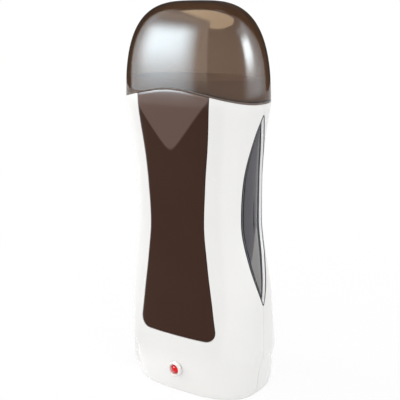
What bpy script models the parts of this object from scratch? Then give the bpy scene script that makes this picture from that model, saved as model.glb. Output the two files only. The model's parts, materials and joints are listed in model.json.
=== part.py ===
"""Roll-on wax heater: a waisted shell that warms a wax cartridge, with a lift-off cover.

Metres, +Z up, front towards -Y. The two shells meet on the plane y = 0 of the parting frame.
"""

import math

import bmesh
import bpy
from mathutils import Matrix, Vector

# Overall form, measured from the parting plane between the shells
HEIGHT = 0.205
SHOULDER_HALF_WIDTH = 0.0419
WAIST_HALF_WIDTH = 0.0355
FRONT_SHOULDER_DEPTH = 0.0231
FRONT_WAIST_DEPTH = 0.0205
REAR_FOOT_DEPTH = 0.0407
REAR_WAIST_DEPTH = 0.0227
DOME_HEIGHT = 0.0631
FOOT_EDGE_RISE = 0.012
FOOT_EDGE_INSET = 0.001

# Walls and clearances
WALL = 0.0025
FLOOR = 0.003
COVER_WALL = 0.003
GAP = 0.0003
OVERRUN = 0.004

# Edge of the cover, low at the sides and arched over the front and the back
COVER_HEIGHT = 0.0502
COVER_EDGE_ARCH = 0.0075

# Front panel
PANEL_BOTTOM = 0.0324
PANEL_WAIST_HALF_WIDTH = 0.0173
PANEL_FOOT_HALF_WIDTH = 0.0256
PANEL_THICKNESS = 0.001
PANEL_CORNER = 0.0065

# Side windows
WINDOW_BOTTOM = 0.0506
WINDOW_TOP_DROP = 0.0056
WINDOW_HALF_DEPTH = 0.0094
WINDOW_TIP_HALF_DEPTH = 0.0003
WINDOW_FLANGE = 0.0012
WINDOW_FLANGE_THICKNESS = 0.001

# Cartridge and its heating cup
CARTRIDGE_HALF_WIDTH = 0.0265
CARTRIDGE_HALF_DEPTH = 0.0165
CARTRIDGE_CLEARANCE = 0.0005
CUP_WALL = 0.001
CUP_FLOOR = 0.0015
CUP_CENTRE = 0.0004
CUP_TOP_RISE = 0.0029
CUP_SLOT_HALF_DEPTH = 0.005
CUP_SLOT_BOTTOM_RISE = 0.0144
CUP_SLOT_TOP_DROP = 0.0157
REST_THICKNESS = 0.002
REST_RIM = 0.006

# Cradle that carries the cup, and the shelf under it
SHELF_TOP = 0.046
SHELF_THICKNESS = 0.002
SHELF_REACH = 0.002
CRADLE_THICKNESS = 0.003
CRADLE_OPENING_HALF_WIDTH = 0.020
CRADLE_OPENING_HALF_DEPTH = 0.012

# Collar round the cartridge's neck
COLLAR_LEDGE_DROP = 0.0045
COLLAR_LEDGE_THICKNESS = 0.002
COLLAR_LEDGE_REACH = 0.0014
COLLAR_LEDGE_HALF_WIDTH = 0.014
COLLAR_SKIRT = 0.0012
COLLAR_STEP_DROP = 0.0008
COLLAR_RIM_WALL = 0.0015
COLLAR_RIM_RISE = 0.0045
COLLAR_DECK = 0.002

# Heater stack under the cup
HEATER_HALF_WIDTH = 0.015
HEATER_HALF_DEPTH = 0.008
HEATER_THICKNESS = 0.0024
INSULATOR_THICKNESS = 0.0003
CLAMP_HALF_LENGTH = 0.0265
CLAMP_HALF_DEPTH = 0.005
CLAMP_THICKNESS = 0.001
CLAMP_SCREW_INSET = 0.0027
CLAMP_SCREW_RADIUS = 0.001
CLAMP_SCREW_LENGTH = 0.0036
THERMOSTAT_LENGTH = 0.013
THERMOSTAT_DEPTH = 0.007
THERMOSTAT_THICKNESS = 0.004
THERMOSTAT_OFFSET = 0.009
FUSE_RADIUS = 0.002
FUSE_LENGTH = 0.010
FUSE_LEAD = 0.005

# Screws that hold the shells together
LOW_POST_INSET = 0.0116
LOW_POST_HEIGHT = 0.012
HIGH_POST_INSET = 0.0055
HIGH_POST_HEIGHT = 0.0385
SCREW_RADIUS = 0.0014
SCREW_LENGTH = 0.013
SCREW_SEAT = 0.004
POST_WALL = 0.0015
WELL_WALL = 0.0012

# Circuit board with its lamp
BOARD_FACE = 0.011
BOARD_THICKNESS = 0.0016
BOARD_CLEARANCE = 0.0008
BOARD_BOTTOM = 0.004
BOARD_HEIGHT = 0.024
BOARD_POST_RADIUS = 0.0024
BOARD_POST_SPREAD = 0.010
BOARD_SCREW_RADIUS = 0.001
BOARD_SCREW_LENGTH = 0.005
LAMP_HEIGHT = 0.0132
LAMP_RADIUS = 0.0025
LAMP_LENGTH = 0.0086
LAMP_LEG_SPREAD = 0.00127
LAMP_LEG_RADIUS = 0.0003
BEZEL_RADIUS = 0.0041
BEZEL_PROUD = 0.0019
BEZEL_SLEEVE_LENGTH = 0.004
RESISTOR_RADIUS = 0.0016
RESISTOR_LENGTH = 0.0065
RESISTOR_HEIGHT = 0.0245
DIODE_RADIUS = 0.0012
DIODE_LENGTH = 0.0045
DIODE_HEIGHT = 0.0070
PART_LEAD = 0.003
PART_LEAD_RADIUS = 0.00035

# Mains inlet in a flat pad on the left side
PAD_PROUD = 0.0049
PAD_HALF_DEPTH = 0.010
PAD_BOTTOM = 0.0038
PAD_TOP = 0.018
PAD_SLOPE = 0.006
INLET_HEIGHT = 0.011
INLET_HALF_DEPTH = 0.0088
INLET_HALF_HEIGHT = 0.0053
INLET_LENGTH = 0.0112
INLET_FLANGE = 0.0011
INLET_FLANGE_THICKNESS = 0.0015
INLET_BACK = 0.002
INLET_SLOT_HALF_DEPTH = 0.008
INLET_SLOT_RADIUS = 0.0037
PIN_SPREAD = 0.0043
PIN_RADIUS = 0.0012
PIN_RECESS = 0.002
PIN_TAIL = 0.002
HOUSE_WALL = 0.0012

# Terminal block on the floor
BLOCK_HALF_WIDTH = 0.0075
BLOCK_DEPTH = 0.009
BLOCK_HEIGHT = 0.008
BLOCK_PLACE = 0.0155
BLOCK_HOLE_RADIUS = 0.0013
BLOCK_HOLE_DEPTH = 0.004

# Leads
LEAD_RADIUS = 0.0008

# Edge rounding
SMALL_EDGE = 0.0004
LARGE_EDGE = 0.0008

# Exponents of the rounded sections, and of the curves that follow them
FRONT_EXPONENT = 2.74
REAR_EXPONENT = 2.2
CUP_EXPONENT = 2.6
DOME_EXPONENT = 3.2
EDGE_EXPONENT = 1.38
WINDOW_EXPONENT = 2.4

# Height share of each station, and how far the size there lies from waist towards shoulder or foot
WIDTH_SHARES = (
    (0.0, 0.20), (0.06, 0.38), (0.12, 0.88), (0.24, 0.84), (0.36, 0.38),
    (0.46, 0.0), (0.56, 0.08), (0.68, 0.50), (0.76, 0.94), (1.0, 1.0),
)
FRONT_DEPTH_SHARES = (
    (0.0, 0.35), (0.12, 0.88), (0.28, 0.38), (0.46, 0.0), (0.62, 0.23), (0.76, 1.0), (1.0, 0.92),
)
REAR_DEPTH_SHARES = (
    (0.0, 1.0), (0.12, 0.66), (0.28, 0.32), (0.46, 0.08), (0.62, 0.0), (0.76, 0.06), (1.0, 0.09),
)
PANEL_SHARES = (
    (0.0, 1.0), (0.12, 1.0), (0.24, 0.66), (0.36, 0.24), (0.46, 0.0), (0.56, 0.12), (0.76, 0.61), (1.0, 0.85),
)

# Shares of the rise of the foot's rounded edge at which it has a ring
FOOT_RING_SHARES = (0.0, 0.1, 0.3, 0.6)

# Counts
RING_SIDES = 40
BODY_ROWS = 18
CAVITY_LOW_ROWS = 4
SHOULDER_ROWS = 3
DOME_ROWS = 9
ROUND_SIDES = 16
SMALL_SIDES = 10
LEG_SIDES = 8
EDGE_STEPS = 18
PANEL_COLUMNS = 10
PANEL_ROWS = 11
CORNER_STEPS = 3
WINDOW_ROWS = 14
WINDOW_COLUMNS = 4
ROUTE_STEPS = 4

# Places worked out from the sizes above
SHELL_MIDDLE = (REAR_FOOT_DEPTH - FRONT_SHOULDER_DEPTH) / 2
COVER_EDGE_HEIGHT = HEIGHT - COVER_HEIGHT
WINDOW_TOP = COVER_EDGE_HEIGHT - WINDOW_TOP_DROP
WINDOW_CENTRE_HEIGHT = (WINDOW_TOP + WINDOW_BOTTOM) / 2
WINDOW_HALF_LENGTH = (WINDOW_TOP - WINDOW_BOTTOM) / 2
CUP_TOP = COVER_EDGE_HEIGHT + CUP_TOP_RISE
CUP_SLOT_TOP = CUP_TOP - CUP_SLOT_TOP_DROP
COLLAR_LEDGE_TOP = COVER_EDGE_HEIGHT - COLLAR_LEDGE_DROP
PAD_REACH = WAIST_HALF_WIDTH + PAD_PROUD
BODY_LOFT_TOP = COVER_EDGE_HEIGHT + COVER_EDGE_ARCH + 2 * OVERRUN
COVER_INSET = COVER_WALL + GAP
CUP_HALF_WIDTH = CARTRIDGE_HALF_WIDTH + CARTRIDGE_CLEARANCE
CUP_HALF_DEPTH = CARTRIDGE_HALF_DEPTH + CARTRIDGE_CLEARANCE
CRADLE_BOTTOM = SHELF_TOP + GAP
CRADLE_TOP = CRADLE_BOTTOM + CRADLE_THICKNESS
CUP_BOTTOM = CRADLE_TOP + GAP
CUP_SLOT_BOTTOM = CUP_BOTTOM + CUP_SLOT_BOTTOM_RISE
COLLAR_BOTTOM = COLLAR_LEDGE_TOP + GAP
COLLAR_STEP = COVER_EDGE_HEIGHT - COLLAR_STEP_DROP
DECK_BOTTOM = CUP_TOP + GAP
DECK_TOP = DECK_BOTTOM + COLLAR_DECK
COLLAR_TOP = COVER_EDGE_HEIGHT + COVER_EDGE_ARCH + COLLAR_RIM_RISE
HEATER_TOP = CUP_BOTTOM - GAP
HEATER_BOTTOM = HEATER_TOP - HEATER_THICKNESS
INSULATOR_TOP = HEATER_BOTTOM - GAP
CLAMP_TOP = min(INSULATOR_TOP - INSULATOR_THICKNESS, CRADLE_BOTTOM) - GAP
CLAMP_BOTTOM = CLAMP_TOP - CLAMP_THICKNESS
CLAMP_SCREW_SPREAD = CLAMP_HALF_LENGTH - CLAMP_SCREW_INSET
BOARD_BACK = BOARD_FACE - BOARD_THICKNESS
INLET_BACK_PLACE = PAD_REACH - INLET_LENGTH
HOUSE_END = INLET_BACK_PLACE - GAP - HOUSE_WALL + SMALL_EDGE
LOW_POST_SPREAD = HOUSE_END - LOW_POST_INSET
HIGH_POST_SPREAD = WAIST_HALF_WIDTH - HIGH_POST_INSET
BOARD_HALF_WIDTH = LOW_POST_SPREAD - SCREW_RADIUS - GAP - POST_WALL - BOARD_CLEARANCE
BLOCK_BOTTOM = FLOOR + GAP
LEAD_PLACE = BLOCK_BOTTOM + BLOCK_HEIGHT / 2


def clear_scene():
    """Remove every object that the file starts with."""
    for item in list(bpy.data.objects):
        bpy.data.objects.remove(item, do_unlink=True)


def finish(name, colour, roughness, metallic=0.0, see_through=0.0):
    """One Principled material for a sub-part."""
    material = bpy.data.materials.new(name)
    material.use_nodes = True
    shader = material.node_tree.nodes["Principled BSDF"]
    shader.inputs["Base Color"].default_value = (*colour, 1.0)
    shader.inputs["Roughness"].default_value = roughness
    shader.inputs["Metallic"].default_value = metallic
    shader.inputs["Transmission Weight"].default_value = see_through
    material.diffuse_color = (*colour, 1.0)
    return material


def curve_through(stations, place):
    """Height of the smooth, never overshooting curve through (place, value) stations."""
    places = [station[0] for station in stations]
    values = [station[1] for station in stations]
    steps = [after - before for before, after in zip(places, places[1:])]
    rises = [(after - before) / step for before, after, step in zip(values, values[1:], steps)]
    slopes = [rises[0]]
    for index in range(1, len(rises)):
        before, after = rises[index - 1], rises[index]
        if before * after <= 0:
            slopes.append(0.0)
            continue
        lead = 2 * steps[index] + steps[index - 1]
        trail = steps[index] + 2 * steps[index - 1]
        slopes.append((lead + trail) / (lead / before + trail / after))
    slopes.append(rises[-1])
    place = min(max(place, places[0]), places[-1])
    index = 0
    while index < len(steps) - 1 and place > places[index + 1]:
        index += 1
    step = steps[index]
    part = (place - places[index]) / step
    start = (2 * part ** 3 - 3 * part ** 2 + 1) * values[index]
    end = (3 * part ** 2 - 2 * part ** 3) * values[index + 1]
    bend = (part ** 3 - 2 * part ** 2 + part) * slopes[index] + (part ** 3 - part ** 2) * slopes[index + 1]
    return start + end + bend * step


def dome_share(height, inset):
    """Share of the full section that is left at a height inside the rounded top."""
    rise = (height - HEIGHT + DOME_HEIGHT) / (DOME_HEIGHT - inset)
    rise = min(max(rise, 0.0), 1.0)
    return (1 - rise ** DOME_EXPONENT) ** (1 / DOME_EXPONENT)


def foot_inset(height):
    """How far the wall draws in towards the foot's edge."""
    drop = 1 - height / FOOT_EDGE_RISE
    if drop <= 0:
        return 0.0
    return FOOT_EDGE_INSET * (1 - math.sqrt(1 - min(drop, 1.0) ** 2))


def section(height, inset=0.0):
    """Half-width, front depth and rear depth of the body at a height, drawn in by an inset."""
    place = height / HEIGHT
    trim = inset + foot_inset(height)
    keep = dome_share(height, inset)
    width = WAIST_HALF_WIDTH + curve_through(WIDTH_SHARES, place) * (SHOULDER_HALF_WIDTH - WAIST_HALF_WIDTH)
    front = FRONT_WAIST_DEPTH + curve_through(FRONT_DEPTH_SHARES, place) * (FRONT_SHOULDER_DEPTH - FRONT_WAIST_DEPTH)
    rear = REAR_WAIST_DEPTH + curve_through(REAR_DEPTH_SHARES, place) * (REAR_FOOT_DEPTH - REAR_WAIST_DEPTH)
    return (width - trim) * keep, (front - trim) * keep, (rear - trim) * keep


def rounded(share, exponent):
    """Signed power of a sine or cosine that turns a circle into a rounded oblong."""
    return math.copysign(abs(share) ** (2 / exponent), share)


def ring_angles(start, end, count):
    """Evenly spaced angles from start to end, both included."""
    return [start + (end - start) * index / count for index in range(count + 1)]


def body_point(height, inset, angle):
    """Point of the body's section at an angle counted from +X."""
    width, front, rear = section(height, inset)
    across, along = math.cos(angle), math.sin(angle)
    depth, exponent = (front, FRONT_EXPONENT) if along < 0 else (rear, REAR_EXPONENT)
    return Vector((width * rounded(across, exponent), depth * rounded(along, exponent), height))


def body_ring(height, inset=0.0):
    """Whole section of the body, anticlockwise from the left."""
    angles = ring_angles(math.pi, 3 * math.pi, RING_SIDES)[:-1]
    return [body_point(height, inset, angle) for angle in angles]


def half_ring(height, side):
    """Section of one shell, stopped half a gap short of the parting plane."""
    start = math.pi if side < 0 else 0.0
    points = [body_point(height, 0.0, angle) for angle in ring_angles(start, start + math.pi, RING_SIDES // 2)]
    for point in points:
        point.y += side * GAP / 2
    return points


def oblong_ring(height, half_width, half_depth, centre=0.0):
    """Rounded oblong with the same count of points as the body's section."""
    points = []
    for angle in ring_angles(math.pi, 3 * math.pi, RING_SIDES)[:-1]:
        across = half_width * rounded(math.cos(angle), CUP_EXPONENT)
        along = half_depth * rounded(math.sin(angle), CUP_EXPONENT)
        points.append(Vector((across, centre + along, height)))
    return points


def front_face(across, height, inset=0.0):
    """Depth coordinate of the front surface, drawn in by an inset."""
    width, front, _ = section(height, inset)
    share = min(abs(across) / width, 1.0)
    return -front * (1 - share ** FRONT_EXPONENT) ** (1 / FRONT_EXPONENT)


def side_face(depth, height, inset=0.0):
    """Distance of the side surface from the middle plane, drawn in by an inset."""
    width, front, rear = section(height, inset)
    reach, exponent = (front, FRONT_EXPONENT) if depth < 0 else (rear, REAR_EXPONENT)
    share = min(abs(depth) / reach, 1.0)
    return width * (1 - share ** exponent) ** (1 / exponent)


def cover_edge(across):
    """Height of the cover's edge at a distance from the middle."""
    share = min(abs(across) / SHOULDER_HALF_WIDTH, 1.0)
    return COVER_EDGE_HEIGHT + COVER_EDGE_ARCH * (1 - share ** EDGE_EXPONENT)


def bridge(mesh, lower, upper):
    """Join two loops of equal count with faces."""
    for index in range(len(lower)):
        after = (index + 1) % len(lower)
        mesh.faces.new((lower[index], lower[after], upper[after], upper[index]))


def stack(rings, joined=False):
    """Closed mesh through a row of rings, capped at both ends or joined end to start."""
    mesh = bmesh.new()
    loops = [[mesh.verts.new(point) for point in ring] for ring in rings]
    for lower, upper in zip(loops, loops[1:]):
        bridge(mesh, lower, upper)
    if joined:
        bridge(mesh, loops[-1], loops[0])
    else:
        mesh.faces.new(list(reversed(loops[0])))
        mesh.faces.new(loops[-1])
    mesh.normal_update()
    bmesh.ops.recalc_face_normals(mesh, faces=mesh.faces)
    return mesh


def grid_border(grid):
    """Outline of a grid of points or vertices, once round."""
    rows, columns = len(grid), len(grid[0])
    border = [grid[0][column] for column in range(columns)]
    border += [grid[row][columns - 1] for row in range(1, rows)]
    border += [grid[rows - 1][column] for column in range(columns - 2, -1, -1)]
    border += [grid[row][0] for row in range(rows - 2, 0, -1)]
    return border


def slab(layers):
    """Closed plate: its first and last layers are curved faces, those between shape its edge."""
    mesh = bmesh.new()
    loops = []
    for place, layer in enumerate(layers):
        if 0 < place < len(layers) - 1:
            loops.append([mesh.verts.new(point) for point in grid_border(layer)])
            continue
        grid = [[mesh.verts.new(point) for point in row] for row in layer]
        for lower, upper in zip(grid, grid[1:]):
            for column in range(len(lower) - 1):
                mesh.faces.new((lower[column], lower[column + 1], upper[column + 1], upper[column]))
        loops.append(grid_border(grid))
    for lower, upper in zip(loops, loops[1:]):
        bridge(mesh, lower, upper)
    mesh.normal_update()
    bmesh.ops.recalc_face_normals(mesh, faces=mesh.faces)
    return mesh


def circle(radius, height, sides):
    """Ring of points round Z."""
    angles = ring_angles(0.0, 2 * math.pi, sides)[:-1]
    return [Vector((radius * math.cos(angle), radius * math.sin(angle), height)) for angle in angles]


def turned(profile, sides=ROUND_SIDES, joined=False):
    """Solid turned round Z through (radius, height) pairs."""
    return stack([circle(radius, height, sides) for radius, height in profile], joined)


def brick(low, high, edge=0.0):
    """Box between two corners, with its edges rounded if an edge is given."""
    mesh = bmesh.new()
    low, high = Vector(low), Vector(high)
    bmesh.ops.create_cube(mesh, size=1.0)
    size = high - low
    bmesh.ops.scale(mesh, vec=size, verts=mesh.verts)
    bmesh.ops.translate(mesh, vec=(low + high) / 2, verts=mesh.verts)
    if edge:
        bmesh.ops.bevel(mesh, geom=mesh.edges, offset=edge, segments=2, profile=0.5, affect="EDGES")
    return mesh


def prism(outline, low, high, axis):
    """Solid that carries a flat outline from low to high along X or Y."""
    if axis == "X":
        return stack([[Vector((place, first, second)) for first, second in outline] for place in (low, high)])
    return stack([[Vector((first, place, second)) for first, second in outline] for place in (low, high)])


def rod(radius, start, end, across, height, sides=SMALL_SIDES):
    """Round bar along Y between two depths."""
    rings = []
    for depth in (start, end):
        rings.append([Vector((across + point.x, depth, height + point.y)) for point in circle(radius, 0.0, sides)])
    return stack(rings)


class Assembly:
    """The parting frame that every sub-part hangs from."""

    def __init__(self):
        self.frame = bpy.data.objects.new("parting_frame", None)
        self.frame.location = (0.0, -SHELL_MIDDLE, 0.0)
        bpy.context.scene.collection.objects.link(self.frame)

    def add(self, name, mesh, origin=(0.0, 0.0, 0.0)):
        """Object from a mesh in body coordinates, with its origin moved to a point."""
        data = bpy.data.meshes.new(name)
        mesh.transform(Matrix.Translation(-Vector(origin)))
        mesh.to_mesh(data)
        mesh.free()
        item = bpy.data.objects.new(name, data)
        item.location = origin
        item.parent = self.frame
        bpy.context.scene.collection.objects.link(item)
        return item

    def part(self, name, mesh, material, origin=(0.0, 0.0, 0.0), smooth=True):
        """Sub-part with its material and smooth shading up to sharp edges."""
        item = self.add(name, mesh, origin)
        item.data.materials.append(material)
        if smooth:
            item.data.shade_smooth()
            item.data.set_sharp_from_angle(angle=math.radians(35))
        return item

    def placed(self, name, mesh, material, location, rotation=(0.0, 0.0, 0.0)):
        """Sub-part modelled round its own origin, then placed and turned."""
        item = self.part(name, mesh, material)
        item.location = location
        item.rotation_euler = rotation
        return item

    def tool(self, name, mesh):
        """Cutting or joining shape that isn't a sub-part itself."""
        item = self.add(name, mesh)
        item.hide_render = True
        item.display_type = "WIRE"
        return item

    @staticmethod
    def combine(target, tool, operation="DIFFERENCE"):
        """Cut a tool from a target, or join it to the target."""
        modifier = target.modifiers.new(tool.name, "BOOLEAN")
        modifier.operation = operation
        modifier.solver = "EXACT"
        modifier.object = tool


def body_heights(top):
    """Heights of the rows of a shell from foot to top."""
    low = [FOOT_EDGE_RISE * share for share in FOOT_RING_SHARES]
    return low + ring_angles(FOOT_EDGE_RISE, top, BODY_ROWS)


def cavity_mesh():
    """Space inside the shells, with a shelf left standing round it."""
    low = SHELF_TOP - SHELF_THICKNESS
    rings = [body_ring(height, WALL) for height in ring_angles(FLOOR, low, CAVITY_LOW_ROWS)]
    rings += [body_ring(height, WALL + SHELF_REACH) for height in (low, SHELF_TOP)]
    above = ring_angles(SHELF_TOP, BODY_LOFT_TOP + OVERRUN, BODY_ROWS - CAVITY_LOW_ROWS)
    rings += [body_ring(height, WALL) for height in above]
    return stack(rings)


def post_places():
    """Across and height of each post that takes a screw."""
    places = []
    for spread, height in ((LOW_POST_SPREAD, LOW_POST_HEIGHT), (HIGH_POST_SPREAD, HIGH_POST_HEIGHT)):
        places += [(-spread, height), (spread, height)]
    return places


def board_post_places():
    """Across and height of each post that carries the circuit board."""
    height = BOARD_BOTTOM + BOARD_HEIGHT - 2 * BOARD_POST_RADIUS
    return [(-BOARD_POST_SPREAD, height), (BOARD_POST_SPREAD, height)]


def ledge_mesh(side):
    """Ledge inside a shell that the collar stands on."""
    _, front, rear = section(COLLAR_LEDGE_TOP, WALL + COLLAR_LEDGE_REACH)
    near, far = (front, FRONT_SHOULDER_DEPTH) if side < 0 else (rear, REAR_FOOT_DEPTH)
    depths = sorted((side * near, side * (far + OVERRUN)))
    low = (-COLLAR_LEDGE_HALF_WIDTH, depths[0], COLLAR_LEDGE_TOP - COLLAR_LEDGE_THICKNESS)
    return brick(low, (COLLAR_LEDGE_HALF_WIDTH, depths[1], COLLAR_LEDGE_TOP))


def cavity_tool(assembly, side, name):
    """Cutter for one shell's inside, with its posts and ledge taken out of it."""
    cavity = assembly.tool(name + "_cavity", cavity_mesh())
    reach = FRONT_SHOULDER_DEPTH if side < 0 else REAR_FOOT_DEPTH
    radius = SCREW_RADIUS + GAP + POST_WALL if side < 0 else well_radius() + WELL_WALL
    for index, (across, height) in enumerate(post_places()):
        ends = sorted((-side * OVERRUN, side * (reach + OVERRUN)))
        post = assembly.tool(f"{name}_post_{index}", rod(radius, *ends, across, height, ROUND_SIDES))
        assembly.combine(cavity, post)
    assembly.combine(cavity, assembly.tool(name + "_ledge", ledge_mesh(side)))
    assembly.combine(cavity, assembly.tool(name + "_inlet_house", inlet_house()))
    return cavity


def well_radius():
    """Radius of the well that a screw's head goes down."""
    return head_radius(SCREW_RADIUS) + 2 * GAP


def head_radius(radius):
    """Radius of a pan head on a shank."""
    return 1.9 * radius


def pad_mesh(side):
    """Half of the flat pad that carries the mains inlet."""
    slope = PAD_SLOPE / 2
    inner = PAD_REACH - INLET_LENGTH
    outline = [
        (-PAD_REACH, PAD_BOTTOM),
        (-PAD_REACH, PAD_TOP),
        (-PAD_REACH + slope, PAD_TOP + PAD_SLOPE),
        (-inner, PAD_TOP + PAD_SLOPE),
        (-inner, PAD_BOTTOM),
    ]
    ends = sorted((side * GAP / 2, side * PAD_HALF_DEPTH))
    mesh = prism(outline, *ends, "Y")
    edges = [edge for edge in mesh.edges if all(vert.co.x < -PAD_REACH + SMALL_EDGE for vert in edge.verts)]
    outer = [edge for edge in edges if abs(edge.verts[0].co.y + edge.verts[1].co.y) > PAD_HALF_DEPTH]
    bmesh.ops.bevel(mesh, geom=outer, offset=LARGE_EDGE, segments=3, profile=0.5, affect="EDGES")
    return mesh


def inlet_brick(start, end, margin):
    """Box round the mains inlet between two distances from the middle plane."""
    half_depth = INLET_HALF_DEPTH + margin
    half_height = INLET_HALF_HEIGHT + margin
    low = (-start, -half_depth, INLET_HEIGHT - half_height)
    return brick(low, (-end, half_depth, INLET_HEIGHT + half_height))


def inlet_house():
    """Solid block inside the shells that holds the mains inlet."""
    return inlet_brick(PAD_REACH + OVERRUN, HOUSE_END, INLET_FLANGE + GAP + HOUSE_WALL)


def inlet_cutters(assembly, housing, name):
    """Hole for the mains inlet, with a pocket for its flange."""
    hole = inlet_brick(PAD_REACH + OVERRUN, HOUSE_END - OVERRUN, GAP)
    assembly.combine(housing, assembly.tool(name + "_inlet", hole))
    start = INLET_BACK_PLACE + SMALL_EDGE + INLET_FLANGE_THICKNESS + GAP
    pocket = inlet_brick(start, INLET_BACK_PLACE + SMALL_EDGE - GAP, INLET_FLANGE + GAP)
    assembly.combine(housing, assembly.tool(name + "_pocket", pocket))


def window_outline(clearance):
    """Outline of a side window in depth and height."""
    points = []
    for side in (1, -1):
        for index in range(WINDOW_ROWS + 1):
            share = side * math.cos(math.pi * index / WINDOW_ROWS)
            depth = WINDOW_TIP_HALF_DEPTH + WINDOW_HALF_DEPTH * (1 - abs(share) ** WINDOW_EXPONENT)
            height = WINDOW_CENTRE_HEIGHT - (WINDOW_HALF_LENGTH + clearance) * share
            points.append((side * (depth + clearance), height))
    return points


def above_edge(across_reach, depth_reach, shift, top):
    """Block that lies above the cover's edge."""
    places = ring_angles(-across_reach, across_reach, EDGE_STEPS)
    outline = [(place, cover_edge(place) + shift) for place in places]
    outline += [(across_reach, top), (-across_reach, top)]
    return prism(outline, -depth_reach, depth_reach, "Y")


def panel_half_width(height, clearance):
    """Half-width of the front panel, with its lower corners rounded."""
    share = curve_through(PANEL_SHARES, height / HEIGHT)
    width = PANEL_WAIST_HALF_WIDTH + share * (PANEL_FOOT_HALF_WIDTH - PANEL_WAIST_HALF_WIDTH) + clearance
    radius = PANEL_CORNER + clearance
    drop = radius - (height - PANEL_BOTTOM + clearance)
    if drop > 0:
        width -= radius - math.sqrt(max(radius ** 2 - drop ** 2, 0.0))
    return width


def panel_grid(clearance, inset, top_shift):
    """Grid of points over the front panel's outline, drawn in from the front surface."""
    bottom = PANEL_BOTTOM - clearance
    radius = PANEL_CORNER + clearance
    crown = COVER_EDGE_HEIGHT + COVER_EDGE_ARCH + top_shift
    corner = [radius * (1 - math.cos(angle)) for angle in ring_angles(0.0, math.pi / 2, CORNER_STEPS)]
    heights = [bottom + rise for rise in corner] + ring_angles(bottom + radius, crown, PANEL_ROWS)[1:]
    grid = []
    for height in heights:
        width = panel_half_width(height, clearance)
        row = []
        for column in range(PANEL_COLUMNS + 1):
            across = width * (2 * column / PANEL_COLUMNS - 1)
            share = (height - bottom) / (crown - bottom)
            place = bottom + share * (cover_edge(across) + top_shift - bottom)
            row.append(Vector((across, front_face(across, place, inset), place)))
        grid.append(row)
    return grid


def panel_recess():
    """Cutter for the recess that the front panel lies in, open at the top."""
    outer = panel_grid(GAP, -OVERRUN, OVERRUN)
    inner = panel_grid(GAP, PANEL_THICKNESS + GAP, OVERRUN)
    return slab([outer, inner])


def window_grid(side, clearance, inset):
    """Grid of points over a window's outline, drawn in from the side surface."""
    grid = []
    for index in range(WINDOW_ROWS + 1):
        share = -math.cos(math.pi * index / WINDOW_ROWS)
        half = WINDOW_TIP_HALF_DEPTH + WINDOW_HALF_DEPTH * (1 - abs(share) ** WINDOW_EXPONENT) + clearance
        height = WINDOW_CENTRE_HEIGHT + WINDOW_HALF_LENGTH * share
        row = []
        for column in range(WINDOW_COLUMNS + 1):
            depth = half * (2 * column / WINDOW_COLUMNS - 1)
            row.append(Vector((side * side_face(depth, height, inset), depth, height)))
        grid.append(row)
    return grid


def lamp_face():
    """Depth coordinate that the bezel's flange seats on."""
    return front_face(0.0, LAMP_HEIGHT + BEZEL_RADIUS) - GAP


def shell(assembly, name, side, material):
    """Front or rear housing: half of the body's form, hollowed, trimmed and cut for its fittings."""
    rings = [half_ring(height, side) for height in body_heights(BODY_LOFT_TOP)]
    housing = assembly.part(name, stack(rings), material)
    assembly.combine(housing, assembly.tool(name + "_pad", pad_mesh(side)), "UNION")
    assembly.combine(housing, cavity_tool(assembly, side, name))
    reach = SHOULDER_HALF_WIDTH + OVERRUN
    depth = REAR_FOOT_DEPTH + OVERRUN
    top = above_edge(reach, depth, -GAP / 2, BODY_LOFT_TOP + OVERRUN)
    assembly.combine(housing, assembly.tool(name + "_top", top))
    windows = prism(window_outline(GAP), -reach, reach, "X")
    assembly.combine(housing, assembly.tool(name + "_windows", windows))
    inlet_cutters(assembly, housing, name)
    return housing


def front_housing(assembly, material):
    """Front shell with the panel's recess, the lamp's hole and blind holes in its posts."""
    housing = shell(assembly, "front_housing", -1, material)
    assembly.combine(housing, assembly.tool("panel_recess", panel_recess()))
    lamp_hole = rod(sleeve_radius() + GAP, -FRONT_SHOULDER_DEPTH - OVERRUN, -FRONT_WAIST_DEPTH + 2 * WALL, 0.0, LAMP_HEIGHT)
    assembly.combine(housing, assembly.tool("lamp_hole", lamp_hole))
    depth = SCREW_SEAT + GAP - SCREW_LENGTH - GAP
    for index, (across, height) in enumerate(post_places()):
        hole = rod(SCREW_RADIUS + GAP, depth, OVERRUN, across, height)
        assembly.combine(housing, assembly.tool(f"pilot_{index}", hole))
    return housing


def front_board_posts(assembly, housing):
    """Posts that rise from the front wall to the circuit board."""
    for index, (across, height) in enumerate(board_post_places()):
        back = front_face(across, height) + WALL / 2
        post = rod(BOARD_POST_RADIUS, back, -BOARD_FACE - GAP, across, height)
        assembly.combine(housing, assembly.tool(f"board_post_{index}", post), "UNION")
        hole = rod(BOARD_SCREW_RADIUS + GAP, -BOARD_FACE - BOARD_SCREW_LENGTH, -BOARD_FACE + OVERRUN, across, height)
        assembly.combine(housing, assembly.tool(f"board_pilot_{index}", hole))


def rear_housing(assembly, material):
    """Rear shell with a well and a through hole for each screw."""
    housing = shell(assembly, "rear_housing", 1, material)
    for index, (across, height) in enumerate(post_places()):
        well = rod(well_radius(), SCREW_SEAT, REAR_FOOT_DEPTH + OVERRUN, across, height, ROUND_SIDES)
        assembly.combine(housing, assembly.tool(f"well_{index}", well))
        hole = rod(SCREW_RADIUS + GAP, -OVERRUN, SCREW_SEAT + GAP, across, height)
        assembly.combine(housing, assembly.tool(f"screw_hole_{index}", hole))
    return housing


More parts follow.
